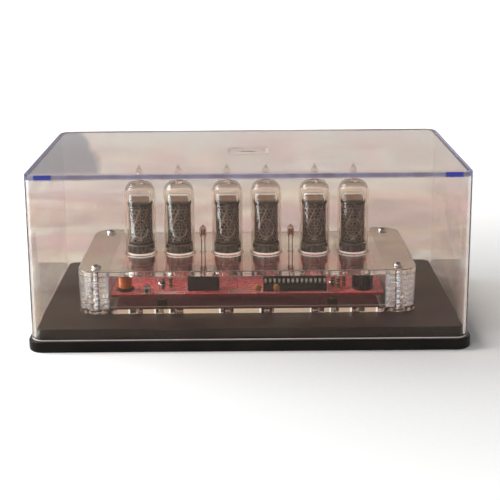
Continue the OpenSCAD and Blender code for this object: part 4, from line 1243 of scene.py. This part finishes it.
low_z, high_z = mica_z + 0.55, cage_high[2]
bracket = [(-6.1, low_z), (-6.1, high_z - 1.4), (-5.75, high_z - 0.5), (-4.9, high_z - 0.02),
           (4.9, high_z - 0.02), (5.75, high_z - 0.5), (6.1, high_z - 1.4), (6.1, low_z)]
under = [(x * 0.94, z - 0.35) for x, z in bracket]
under[0], under[-1] = (-5.75, low_z), (5.75, low_z)
loop = bracket + list(reversed(under))
loft(shape, [[(x, y, z) for x, z in loop] for y in (1.6, -1.6)], BRACKET)
block(shape, (-5.2, 0.5, low_z), (5.2, 0.8, high_z - 1.9), 0.1, BACK_PLATE)
wire(shape, [(-5.2, 0.4, high_z - 1.8), (5.2, 0.4, high_z - 1.8)], 0.22, 8, BRACKET)
# A thin glowing wire along the bracket's front edge stands as a painted highlight.
front_edge = [(-5.9, low_z + 0.1), (-5.9, high_z - 1.5), (-5.5, high_z - 0.65), (-4.8, high_z - 0.3),
              (4.8, high_z - 0.3), (5.5, high_z - 0.65), (5.9, high_z - 1.5), (5.9, low_z + 0.1)]
wire(shape, [(x, -1.65, z) for x, z in front_edge], 0.22, 8, RIM_HIGHLIGHT)
wire(shape, [(-6.0, -1.7, mica_z + 0.75), (6.0, -1.7, mica_z + 0.75)], 0.17, 8, BRACKET)
block(shape, (-0.75, -MICA_R + 0.2, mica_z - 0.5), (0.75, -MICA_R + 0.5, mica_z + 0.6), 0.1, NET)
cage_mesh = shape.mesh(
    "cage_frame", [shield_metal, bracket_metal, mica, net_metal, bracket_plate_glow, bracket_rim_highlight], 40)
cages = one_per_tube("cage", cage_mesh, "anode_cage")
for i, cage in enumerate(cages, 1):
    net = new_object(f"tube_{i}_net", net_mesh, cage.location)
    solid = net.modifiers.new("wire thickness", "SOLIDIFY")
    solid.thickness, solid.offset = 0.00014, 0
    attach(net, cage["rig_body"])

# %% [markdown]
# Ten numerals stand one behind the other, each bent from fine wire. They share two rods that hold them
# apart. A numeral is a few strokes in a box from -1 to 1, and an arc is sampled finely enough to look
# round.

# %% Strokes of the numerals
def bow(cx, cz, rx, rz, start, end):
    steps = max(6, int(abs(end - start) / 12))
    return [(cx + rx * cos(radians(start + (end - start) * k / steps)),
             cz + rz * sin(radians(start + (end - start) * k / steps))) for k in range(steps + 1)]


STROKES = [
    [bow(0, 0, 1, 1, 0, 360)],
    [[(0, -1), (0, 1), (-0.5, 0.6)]],
    [bow(0, 0.45, 1, 0.55, 170, -40) + [(-1, -1), (1, -1)]],
    [bow(0, 0.5, 0.9, 0.5, 150, -90), bow(0, -0.5, 1, 0.5, 90, -150)],
    [[(0, -1), (0, 1), (-1, -0.4), (1, -0.4)]],
    [[(0.9, 1), (-0.8, 1), (-0.85, 0.1)] + bow(0, -0.4, 1, 0.6, 140, -150)],
    [bow(0, -0.30, 1, 0.62, 0, 360), [(-0.92, -0.10), (0.05, 1)]],
    [[(-1, 1), (1, 1), (0, -1)]],
    [bow(0, 0.5, 0.85, 0.5, 0, 360), bow(0, -0.5, 1, 0.5, 0, 360)],
    [bow(0, 0.4, 1, 0.6, 0, 360), bow(-0.2, 0.3, 1.2, 1.3, 0, -100)]]


def closely(points, most):
    """The same path with more points, so that a swept wire keeps its width at the corners."""
    out = [points[0]]
    for (ax, az), (bx, bz) in zip(points, points[1:]):
        gap = sqrt((bx - ax) ** 2 + (bz - az) ** 2)
        if gap > 0.5:
            out += [(ax + (bx - ax) * most / gap, az + (bz - az) * most / gap),
                    (bx - (bx - ax) * most / gap, bz - (bz - az) * most / gap)]
        out.append((bx, bz))
    return out


print("strokes in ten numerals:", sum(len(strokes) for strokes in STROKES))

# %% [markdown]
# The numerals aren't stacked by value: a six with a slanting stroke stands in front, as the photograph
# shows. Its wire is the brightest. Painted shade makes the next two half as bright, and the wires deep in
# the cage dull.

# %% Numerals
numeral_wire = finish("numeral_wire", (0.98, 0.88, 0.76), (0.84, 0.74, 0.63), patch=0.0015,
                      rough=(0.3, 0.45), grain=0.0002, bump=0.1, Metallic=0.4)
# Painted shade: the same wire, half as bright for the next two numerals and dull deep in the cage.
numeral_half_shade = finish("numeral_half_shade", (0.50, 0.43, 0.37), (0.38, 0.33, 0.28), patch=0.0015,
                        rough=(0.3, 0.45), grain=0.0002, bump=0.1, Metallic=0.5)
numeral_shade = finish("numeral_shade", (0.13, 0.105, 0.09), (0.08, 0.065, 0.055), patch=0.0015,
                      rough=(0.3, 0.45), grain=0.0002, bump=0.1, Metallic=0.7)
low, high = extent("tube_1_numerals")
numeral_z = (low[2] + high[2]) / 2
HALF_W, HALF_H, ROD_UP, APART = 4.32, 8.72, 9.55, 0.8
FRONT_TO_BACK = (6, 7, 4, 2, 5, 8, 1, 3, 9, 0)
FRONT, SPACER, SHADED, HALF_SHADED = range(4)
shape = Shape()
for place, n in enumerate(FRONT_TO_BACK):
    y = (place - 4.5) * APART
    thickness = 0.22 if place else 0.27
    kind = (FRONT, HALF_SHADED, HALF_SHADED)[place] if place < 3 else SHADED
    for stroke in STROKES[n]:
        path = closely([(px * HALF_W, pz * HALF_H) for px, pz in stroke], 0.12)
        wire(shape, [(px, y, numeral_z + pz) for px, pz in path], thickness, 6, kind)
    for s in (-1, 1):
        rod_z = numeral_z + s * ROD_UP
        wire(shape, [(0, y, numeral_z + s * (HALF_H - 0.2)), (0, y, numeral_z + s * 9.5)], 0.18, 6, SHADED)
        lathe(shape, [(0, rod_z - 0.1), (0.5, rod_z - 0.1), (0.5, rod_z + 0.1), (0, rod_z + 0.1)],
              0, y, 10, SPACER)
for s in (-1, 1):
    rod_z = numeral_z + s * ROD_UP
    wire(shape, [(0, -6.0, rod_z), (0, 6.0, rod_z)], 0.28, 8, SPACER)
tab = arc_points(0, numeral_z - 9.6, 1.25, 0, 180, 10)
loft(shape, [[(px, y, pz) for px, pz in tab] for y in (-4.15, -4.4)], FRONT)
numeral_mesh = shape.mesh("numerals", [numeral_wire, stem_band, numeral_shade, numeral_half_shade], 50)
one_per_tube("numeral_stack", numeral_mesh, "numerals")

# %% [markdown]
# ## The neon lamps
# The two colons are single neon lamps: a small bulb with two upright electrodes, standing high on its
# leads. The bulb is clear glass with a brownish film, and closed to a little tip.

# %% Neon lamps
lamp_glass = clear_finish("lamp_glass", (0.90, 0.78, 0.68), (0.80, 0.66, 0.56), patch=0.003, ior=1.48,
                          wave=0.003, bump=0.1, shade=0.9, rim=(0.45, 0.34, 0.27))
electrode = finish("electrode_nickel", (0.13, 0.09, 0.07), (0.20, 0.15, 0.12), patch=0.001,
                   rough=(0.3, 0.5), grain=0.0002, Metallic=0.4)
z0, z1 = lamp_low[2], lamp_high[2]
shape = Shape()
for x in lamp_at:
    lathe(shape, [(0, z0 + 0.1), (1.5, z0), (1.95, z0 + 0.35), (2.05, z0 + 0.9), (2.05, z1 - 2.6),
                  (1.85, z1 - 1.9), (1.35, z1 - 1.2), (0.75, z1 - 0.75), (0.35, z1 - 0.4), (0, z1)], x)
    lathe(shape, [(0, z1 - 1.5), (0.7, z1 - 1.6), (1.35, z1 - 2.3), (1.5, z1 - 3.0), (1.5, z0 + 1.4),
                  (1.1, z0 + 1.1), (0, z0 + 1.0)], x)
piece("neon_glass", shape, [lamp_glass], ["neon_lamp_bulbs"], sharp=60)
shape = Shape()
low, high = extent("neon_lamp_leads")
for x in lamp_at:
    for s in (-1, 1):
        post_x = x + s * 0.62
        wire(shape, [(x + s, 0, low[2]), (x + s, 0, z0 + 0.6), (x + s * 0.75, 0, z0 + 1.4),
                     (post_x, 0, z0 + 2.2)], 0.25, 8, 1)
        lathe(shape, [(0, z0 + 1.6), (0.42, z0 + 1.7), (0.46, z0 + 2.2), (0.46, z0 + 4.6), (0.3, z0 + 4.9),
                      (0, z0 + 4.9)], post_x, 0, 12, 1)
piece("neon_leads", shape, [tinned, electrode], ["neon_lamp_leads"])

# %% [markdown]
# ## Chips and socket
# Chips have a two-part body with a seam where the mould closed, pins that leave at the seam and turn down,
# and a notch at one end. The pin row is a block bent at the shoulder, repeated by count.

# %% Chips
chip_black = finish("chip_black", (0.030, 0.026, 0.025), (0.045, 0.038, 0.036), patch=0.003,
                    rough=(0.45, 0.62), grain=0.00025, bump=0.3)
socket_black = finish("socket_black", (0.022, 0.018, 0.018), (0.034, 0.028, 0.027), patch=0.004,
                      rough=(0.32, 0.48), grain=0.0004)
CHIP_W, CHIP_H, CHIP_LIFT, PIN_ROWS = 6.6, 3.3, 0.5, 7.62


def chip(shape, node, foot, pins):
    """A chip as long as its CAD node, with its pins' feet at the height foot."""
    low, high = extent(node)
    x, y, _ = middle(node)
    length = high[0] - low[0]
    z0, z1 = foot + CHIP_LIFT, foot + CHIP_LIFT + CHIP_H
    seam = (z0 + z1) / 2
    rings = []
    for inset, z in ((0.35, z0), (0.25, z0 + 0.1), (0, seam - 0.05), (0, seam + 0.05), (0.25, z1 - 0.1),
                     (0.4, z1)):
        rings.append(rounded_rectangle(length - 2 * inset, CHIP_W - 2 * inset, 0.15, z, x, y, 2))
    loft(shape, rings, 0)
    lathe(shape, [(0.95, z1 + 0.001), (0.85, z1 - 0.35), (0, z1 - 0.35)], x - length / 2 + 1.6, y, 20, 1)
    for k in range(pins):
        px = x + (k - (pins - 1) / 2) * PITCH
        for s in (-1, 1):
            inner, outer = y + s * (CHIP_W / 2 - 0.2), y + s * (PIN_ROWS / 2 + 0.28)
            near, far = sorted((inner, outer))
            block(shape, (px - 0.7, near, seam - 0.14), (px + 0.7, far, seam + 0.14), 0.08, 2)
            near, far = sorted((outer, outer - s * 0.28))
            block(shape, (px - 0.7, near, seam - 1.5), (px + 0.7, far, seam + 0.14), 0.08, 2)
            block(shape, (px - 0.26, near, foot), (px + 0.26, far, seam - 1.4), 0.06, 2)


socket_low, socket_high = extent("chip_socket")
shape = Shape()
chip(shape, "microcontroller", socket_high[2], 14)
piece("microcontroller_chip", shape, [chip_black, socket_black, tinned], ["microcontroller"])
shape = Shape()
chip(shape, "cathode_driver", extent("cathode_driver")[0][2], 7)
piece("driver_chip", shape, [chip_black, socket_black, tinned], ["cathode_driver"])

# %% [markdown]
# The socket is two rails with three bridges between them. Each contact is a small tinned ring on top and a
# pin below.

# %% Socket
x, y, _ = middle("microcontroller")
socket_top = socket_high[2]
shape = Shape()
for s in (-1, 1):
    near, far = sorted((y + s * (socket_high[1] - socket_low[1]) / 2, y + s * 2.6))
    block(shape, (socket_low[0], near, socket_low[2] + 0.4), (socket_high[0], far, socket_top), 0.15)
for end in (socket_low[0], socket_high[0] - 2.2, x - 1.1):
    block(shape, (end, y - 2.7, socket_low[2] + 0.4), (end + 2.2, y + 2.7, socket_top - 0.8), 0.12)
for k in range(14):
    for s in (-1, 1):
        px, py = x + (k - 6.5) * PITCH, y + s * PIN_ROWS / 2
        lathe(shape, [(0.62, socket_top - 0.02), (0.62, socket_top + 0.02), (0.3, socket_top + 0.02)],
              px, py, 12, 1)
        wire(shape, [(px, py, socket_low[2]), (px, py, socket_low[2] + 0.6)], 0.3, 6, 1)
piece("microcontroller_socket", shape, [socket_black, tinned], ["chip_socket"])

# %% [markdown]
# ## Capacitors
# The film capacitor is a moulded box on feet. The reservoir capacitor is an aluminium can in a shrunk
# sleeve: the sleeve grips a groove near its foot and leaves the scored lid bare. Two small ceramic discs
# are dipped in ochre lacquer.

# %% Capacitors
box_black = finish("capacitor_black", (0.028, 0.022, 0.021), (0.042, 0.033, 0.031), patch=0.005,
                   grain=0.0004, bump=0.12)
sleeve_black = finish("sleeve_black", (0.020, 0.018, 0.022), (0.032, 0.029, 0.034), patch=0.004,
                      rough=(0.22, 0.36), grain=0.0008, stretch=(1, 1, 0.3))
sleeve_stripe = finish("sleeve_stripe", (0.40, 0.40, 0.40), (0.50, 0.50, 0.49), patch=0.003,
                       rough=(0.25, 0.4), grain=0.0008)
bare_can = finish("bare_can", (0.62, 0.62, 0.62), (0.52, 0.52, 0.52), patch=0.002, grain=0.0002,
                  Metallic=1.0)
low, high = extent("film_capacitor")
shape = Shape()
on_its_front = Matrix.Rotation(radians(90), 4, "X")
block(shape, (low[0], low[2] + 0.3, -high[1]), (high[0], high[2], -low[1]), 0.35, corner=0.9,
      turn=on_its_front, steps=5)
for px in (low[0] + 0.9, high[0] - 2.1):
    block(shape, (px, low[1] + 0.5, low[2]), (px + 1.2, high[1] - 0.5, low[2] + 0.5), 0.1)
piece("film_capacitor_box", shape, [box_black], ["film_capacitor"])

low, high = extent("reservoir_capacitor")
x, y, _ = middle("reservoir_capacitor")
r, z0, z1 = (high[0] - low[0]) / 2, low[2], high[2]
shape = Shape()
profile = [(0, z0), (r - 0.5, z0), (r, z0 + 0.5), (r, z0 + 1.0), (r - 0.45, z0 + 1.45), (r, z0 + 1.9),
           (r, z1 - 0.5), (r - 0.15, z1 - 0.15), (r - 0.8, z1), (r - 1.1, z1 - 0.1), (r - 1.4, z1 - 0.25),
           (0, z1 - 0.25)]
lathe(shape, profile, x, y, 48, [0] * 9 + [2] * 2)
angles = [radians(60 + 6 * k) for k in range(9)]
stripe = [(x + (r + 0.02) * cos(a), y + (r + 0.02) * sin(a)) for a in angles]
stripe += [(x + (r - 0.1) * cos(a), y + (r - 0.1) * sin(a)) for a in reversed(angles)]
loft(shape, [at_height(stripe, z) for z in (z0 + 2.2, z1 - 0.6)], 1)
for a in (0, pi / 3, 2 * pi / 3):
    spin = Matrix.Translation((x, y, z1 - 0.26)) @ Matrix.Rotation(a, 4, "Z")
    block(shape, (-3.4, -0.08, -0.02), (3.4, 0.08, 0.05), 0.02, turn=spin)
piece("reservoir_can", shape, [sleeve_black, sleeve_stripe, bare_can], ["reservoir_capacitor"])

ochre = finish("ochre_ceramic", (0.90, 0.47, 0.12), (0.76, 0.36, 0.08), patch=0.0015, rough=(0.25, 0.42),
               grain=0.0003, bump=0.25, Coat_Weight=0.4, Coat_Roughness=0.2)
low, high = extent("disc_capacitors")
shape = Shape()
DISC_R = 1.85
y, z = middle("disc_capacitors")[1], high[2] - DISC_R
for x in (low[0] + DISC_R, high[0] - DISC_R):
    upright_disc = Matrix.Translation((x, y, z)) @ on_its_front
    lathe(shape, [(0, -0.75), (0.9, -0.74), (1.45, -0.58), (1.76, -0.28), (DISC_R, 0), (1.76, 0.28),
                  (1.45, 0.58), (0.9, 0.74), (0, 0.75)], steps=28, turn=upright_disc)
    for s in (-1, 1):
        lathe(shape, [(0.5, z - 0.9), (0.42, z - 1.6), (0.28, z - 2.1)], x + s * 1.1, y, 10)
        wire(shape, [(x + s * 1.1, y, low[2]), (x + s * 1.1, y, z - 0.7)], 0.24, 8, 1)
piece("ceramic_discs", shape, [ochre, tinned], ["disc_capacitors"])

# %% [markdown]
# ## The inductor
# A drum of dark ferrite carries enamelled copper wire. The CAD model has five coarse turns on one unbroken
# route. Here the same route has many close turns in two layers, because the real wire is thin: it rises,
# turns back on itself and runs down to the second lead.

# %% Inductor core and winding
ferrite = finish("ferrite", (0.040, 0.034, 0.032), (0.060, 0.050, 0.046), patch=0.002, rough=(0.45, 0.6),
                 grain=0.0002, bump=0.35)
copper = finish("copper_wire", (0.86, 0.30, 0.11), (0.66, 0.20, 0.07), patch=0.001, rough=(0.2, 0.34),
                grain=0.0003, bump=0.1, Metallic=0.85, Coat_Weight=0.6, Coat_Roughness=0.1)
low, high = extent("inductor_core")
x, y, _ = middle("inductor_core")
r, z0, z1 = (high[0] - low[0]) / 2, low[2], high[2]
FLANGE, CORE_R, WIRE_R, TURN_STEPS = 1.4, 3.1, 0.2, 20
shape = Shape()
lathe(shape, [(0, z0), (r - 0.3, z0), (r, z0 + 0.3), (r, z0 + FLANGE - 0.2), (r - 0.2, z0 + FLANGE),
              (CORE_R, z0 + FLANGE), (CORE_R, z1 - FLANGE), (r - 0.2, z1 - FLANGE),
              (r, z1 - FLANGE + 0.2), (r, z1 - 0.3), (r - 0.3, z1), (0.9, z1), (0.8, z1 - 0.3),
              (0, z1 - 0.3)], x, y, 48)
piece("drum_core", shape, [ferrite], ["inductor_core"])

wind_low, wind_high = z0 + FLANGE + WIRE_R + 0.1, z1 - FLANGE - WIRE_R - 0.1
turns = int((wind_high - wind_low) / (2 * WIRE_R + 0.03))
layer_r, layer_steps = CORE_R + WIRE_R + 0.05, turns * TURN_STEPS
route = []
for k in range(layer_steps + 1):
    a = radians(180 + 18 * k)
    route.append((x + layer_r * cos(a), y + layer_r * sin(a),
                  wind_low + (wind_high - wind_low) * k / layer_steps))
for k in range(1, layer_steps - 9):
    a = radians(180 + 18 * layer_steps + 18 * k)
    second_r = layer_r + 0.4 * min(1, k / 10)
    route.append((x + second_r * cos(a), y + second_r * sin(a),
                  wind_high - (wind_high - wind_low) * k / layer_steps))
lead_r = r + 0.55
lead_in = [(x - lead_r, y, z0), (x - lead_r, y, z0 + 1.2), (x - lead_r + 0.4, y + 0.02, wind_low - 0.15),
           (x - CORE_R - 1.1, y + 0.03, wind_low - 0.02)]
final = Vector(route[-1])
away = Vector((final.x - x, final.y - y, 0)).normalized()
lead_out = [(x + away.x * far, y + away.y * far, z) for far, z in
            ((4.4, final.z), (lead_r - 0.2, final.z - 0.3), (lead_r, z0 + 1.2), (lead_r, z0))]
shape = Shape()
wire(shape, lead_in + route + lead_out, WIRE_R, 6)
print("turns of copper wire:", 2 * turns - 1)
piece("copper_winding", shape, [copper], ["inductor_winding"], sharp=60)

# %% [markdown]
# ## Resistors
# Upright resistors stand on one lead. The other lead loops over the top and comes down beside the body. The
# body is a dumb-bell: its two end caps are thicker than its middle, and the colour bands are painted rings.

# %% Resistors
blue_body = finish("blue_lacquer", (0.17, 0.25, 0.40), (0.11, 0.17, 0.30), patch=0.0015,
                   rough=(0.2, 0.35), grain=0.0003, bump=0.1, Coat_Weight=0.4)
tan_body = finish("tan_lacquer", (0.50, 0.36, 0.20), (0.40, 0.28, 0.15), patch=0.0015,
                  rough=(0.25, 0.4), grain=0.0003, bump=0.1, Coat_Weight=0.3)
band_dark = finish("band_dark", (0.08, 0.04, 0.03), (0.12, 0.06, 0.04), patch=0.001, rough=(0.3, 0.4),
                   grain=0.0002)
band_pale = finish("band_pale", (0.62, 0.55, 0.40), (0.55, 0.48, 0.34), patch=0.001, rough=(0.3, 0.4),
                   grain=0.0002)
DUMB_BELL = ((0, 0), (0.5, 0), (1.0, 0.25), (1.15, 0.7), (1.15, 1.3), (0.98, 1.7), (0.98, 2.1),
             (0.98, 2.6), (0.98, 3.1), (0.98, 3.6), (0.98, 4.1), (0.98, 4.5), (1.15, 4.9), (1.15, 5.5),
             (1.0, 5.95), (0.5, 6.2), (0, 6.2))
PAINT = [0, 0, 0, 0, 0, 1, 0, 2, 0, 1, 0, 0, 3, 0, 0, 0]
LOOP_R, LEAD_WIRE_R = 1.3, 0.24


def standing_resistor(shape, x, y, way):
    """The body stands at (x, y), and its lead comes down on the side that way points to."""
    foot = top + 0.4
    lathe(shape, [(r, foot + up) for r, up in DUMB_BELL], x, y, 24, PAINT)
    head = foot + 6.2
    path = [(x, y, head - 0.2)]
    for k in range(11):
        a = pi * k / 10
        out = LOOP_R * (1 - cos(a))
        path.append((x + way[0] * out, y + way[1] * out, head + LOOP_R * sin(a)))
    path.append((x + way[0] * 2 * LOOP_R, y + way[1] * 2 * LOOP_R, top))
    wire(shape, path, LEAD_WIRE_R, 8, 4)
    wire(shape, [(x, y, top), (x, y, foot + 0.2)], LEAD_WIRE_R, 8, 4)


shape = Shape()
low, high = extent("blue_resistor")
standing_resistor(shape, high[0] - 1.15, high[1] - 1.15, (-1, 0))
piece("blue_standing_resistor", shape, [blue_body, band_dark, band_pale, band_pale, tinned],
      ["blue_resistor"])

shape = Shape()
for px, py in ((-43.45, -25.4), (48.65, -25.0), (51.56, -27.0), (54.77, -24.6)):
    standing_resistor(shape, clock_x + px, py, (0, 1))
low, high = extent("tan_resistors")
print("tan resistors: CAD from", [round(v, 2) for v in low], "to", [round(v, 2) for v in high])
print("drawn from", [round(min(p[k] for p in shape.points), 2) for k in range(3)], "to",
      [round(max(p[k] for p in shape.points), 2) for k in range(3)])
piece("tan_standing_resistors", shape, [tan_body, band_dark, band_pale, band_dark, tinned],
      ["tan_resistors"])

# %% [markdown]
# ## Transistor, crystal and inlet
# These stand towards the rear, where the photograph does not reach. They are plain examples of what such a
# clock needs: a transistor for the high voltage, a crystal in a can, and an inlet for the power plug.

# %% Transistor and crystal
low, high = extent("power_transistor")
shape = Shape()
tab_x, tab_front = middle("power_transistor")[0], high[1] - 15.4
tab = [(low[0], tab_front), (high[0], tab_front), (high[0], high[1] - 1), (high[0] - 1, high[1]),
       (low[0] + 1, high[1]), (low[0], high[1] - 1)]
plate(shape, tab, [circle(tab_x, tab_front + 12.3, 1.8, 28)], low[2], low[2] + 1.3, 0.12, 1, 1)
block(shape, (low[0], tab_front, low[2] + 1.3), (high[0], tab_front + 9, high[2]), 0.35)
for k in (-1, 0, 1):
    px = tab_x + PITCH * k
    block(shape, (px - 0.45, low[1] + 0.25, low[2] + 1.6), (px + 0.45, tab_front + 0.2, low[2] + 2.1),
          0.06, 2)
    block(shape, (px - 0.45, low[1], low[2]), (px + 0.45, low[1] + 0.5, low[2] + 2.1), 0.06, 2)
piece("transistor_package", shape, [chip_black, bare_can, tinned], ["power_transistor"])

can_steel = finish("can_steel", (0.66, 0.66, 0.65), (0.56, 0.56, 0.55), patch=0.002, rough=(0.2, 0.34),
                   grain=0.0003, bump=0.08, Metallic=1.0)
low, high = extent("timing_crystal")
x, y, _ = middle("timing_crystal")
z0, z1 = low[2], high[2]
CAN = ((10.9, 4.5, 2.2, z0), (11, 4.6, 2.25, z0 + 0.15), (11, 4.6, 2.25, z0 + 0.4),
       (10.6, 4.2, 2.05, z0 + 0.5), (10.3, 3.9, 1.9, z0 + 0.7), (10.2, 3.8, 1.85, z1 - 0.7),
       (10.0, 3.6, 1.75, z1 - 0.25), (9.4, 3.0, 1.45, z1))
shape = Shape()
loft(shape, [rounded_rectangle(w, d, r, z, x, y, 8) for w, d, r, z in CAN])
piece("crystal_can", shape, [can_steel], ["timing_crystal"], sharp=40)

# %% [markdown]
# The inlet is a moulded box with a round bore that opens to the rear. The bore is cut as a ring of faces
# between a square front and a round tube, so that it is a real hole with a pin in it.

# %% Power inlet
inlet_black = finish("inlet_black", (0.020, 0.019, 0.019), (0.030, 0.028, 0.028), patch=0.004,
                     rough=(0.35, 0.5), grain=0.0004, bump=0.2)
low, high = extent("power_inlet")
x, _, z = middle("power_inlet")
w, h = high[0] - low[0], high[2] - low[2]
rear, BORE_DEPTH = high[1], 9


def inlet_ring(inset, y):
    corner = 0.3 if inset else 0.4
    return [(x - px, y, z + pz)
            for px, pz, _ in rounded_rectangle(w - 2 * inset, h - 2 * inset, corner, 0, steps=8)]


def bore_ring(radius, y):
    """A round ring with as many points as a square one, each at the same angle."""
    ring = []
    for px, pz, _ in rounded_rectangle(w, h, 0.4, 0, steps=8):
        a = math.atan2(pz, px)
        ring.append((x - radius * cos(a), y, z + radius * sin(a)))
    return ring


shape = Shape()
loft(shape, [inlet_ring(0.4, low[1]), inlet_ring(0, low[1] + 0.4), inlet_ring(0, rear - 0.4),
             inlet_ring(0.3, rear), bore_ring(3.5, rear), bore_ring(3.15, rear - 0.35),
             bore_ring(3.15, rear - BORE_DEPTH)])
to_the_rear = Matrix.Translation((x, rear - 9.4, z)) @ Matrix.Rotation(radians(-90), 4, "X")
lathe(shape, [(0, 0), (1.0, 0), (1.0, 7.9), (0.7, 8.4), (0, 8.4)], steps=20, finish=1, turn=to_the_rear)
piece("inlet_box", shape, [inlet_black, tinned], ["power_inlet"])

# %% [markdown]
# ## Setting switches
# Two small push switches set the time, one at the front edge of the board and one at the rear. Each has a
# metal plate with four rivets in its corners and a black plunger, which slides in as it is pressed.

# %% Switches
switch_plate = finish("switch_plate", (0.46, 0.36, 0.34), (0.34, 0.27, 0.26), patch=0.001,
                      rough=(0.25, 0.4), grain=0.0002, bump=0.1, Metallic=0.9)
rivet_bright = finish("rivet_bright", (0.95, 0.94, 0.92), (0.88, 0.87, 0.85), patch=0.0005,
                      rough=(0.2, 0.3), grain=0.0002, Metallic=0.2)
button_black = finish("button_black", (0.020, 0.018, 0.018), (0.034, 0.030, 0.030), patch=0.001,
                      rough=(0.35, 0.5), grain=0.0002, bump=0.2)
FRONT_WAY, REAR_WAY, PLATE_PROUD = -1, 1, 0.15


def facing(node, y, way):
    """A turn that stands a shape up at the middle of a node, with its top to the front or the rear."""
    x, _, z = middle(node)
    return Matrix.Translation((x, y, z)) @ Matrix.Rotation(radians(90 if way < 0 else -90), 4, "X")


def switch(shape, node, way):
    low, high = extent(node)
    w, h, depth = high[0] - low[0], high[2] - low[2], high[1] - low[1] - PLATE_PROUD
    turn = facing(node, low[1] + PLATE_PROUD if way < 0 else high[1] - PLATE_PROUD, way)

    def ring(inset, corner, up):
        return rounded_rectangle(w - 2 * inset, h - 2 * inset, corner, up, steps=6)

    def hole(radius, up):
        return [(radius * px / sqrt(px * px + py * py), radius * py / sqrt(px * px + py * py), up)
                for px, py, _ in ring(0, 0.4, 0)]

    rings = [ring(0.15, 0.3, -depth), ring(0, 0.4, -depth + 0.2), ring(0, 0.4, -0.55),
             ring(0.08, 0.35, -0.5), ring(0.08, 0.35, -0.1), ring(0.15, 0.3, 0), hole(1.1, 0),
             hole(1.05, -1.7)]
    loft(shape, rings, [1, 1, 1, 0, 0, 0, 1], turn=turn)
    for sx in (-1, 1):
        for sz in (-1, 1):
            lathe(shape, [(0.46, -0.02), (0.44, 0.08), (0.26, 0.15), (0, 0.15)],
                  sx * (w / 2 - 0.6), sz * (h / 2 - 0.6), 14, 2, turn)


for name, way in (("set", FRONT_WAY), ("adjust", REAR_WAY)):
    shape = Shape()
    switch(shape, f"{name}_switch_body", way)
    piece(f"{name}_switch", shape, [switch_plate, inlet_black, rivet_bright], [f"{name}_switch_body"])
    button = f"{name}_button"
    low, high = extent(button)
    deep = high[1] - low[1]
    shape = Shape()
    lathe(shape, [(0, -deep), (0.88, -deep), (0.9, -0.15), (0.86, -0.04), (0.75, 0), (0.5, -0.03),
                  (0, -0.05)], steps=28, turn=facing(button, low[1] if way < 0 else high[1], way))
    piece(f"{name}_key_cap", shape, [button_black], [button])

# %% Measure and finish
low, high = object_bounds()
print("visual size in mm:", [round(v * 1000, 2) for v in high - low])
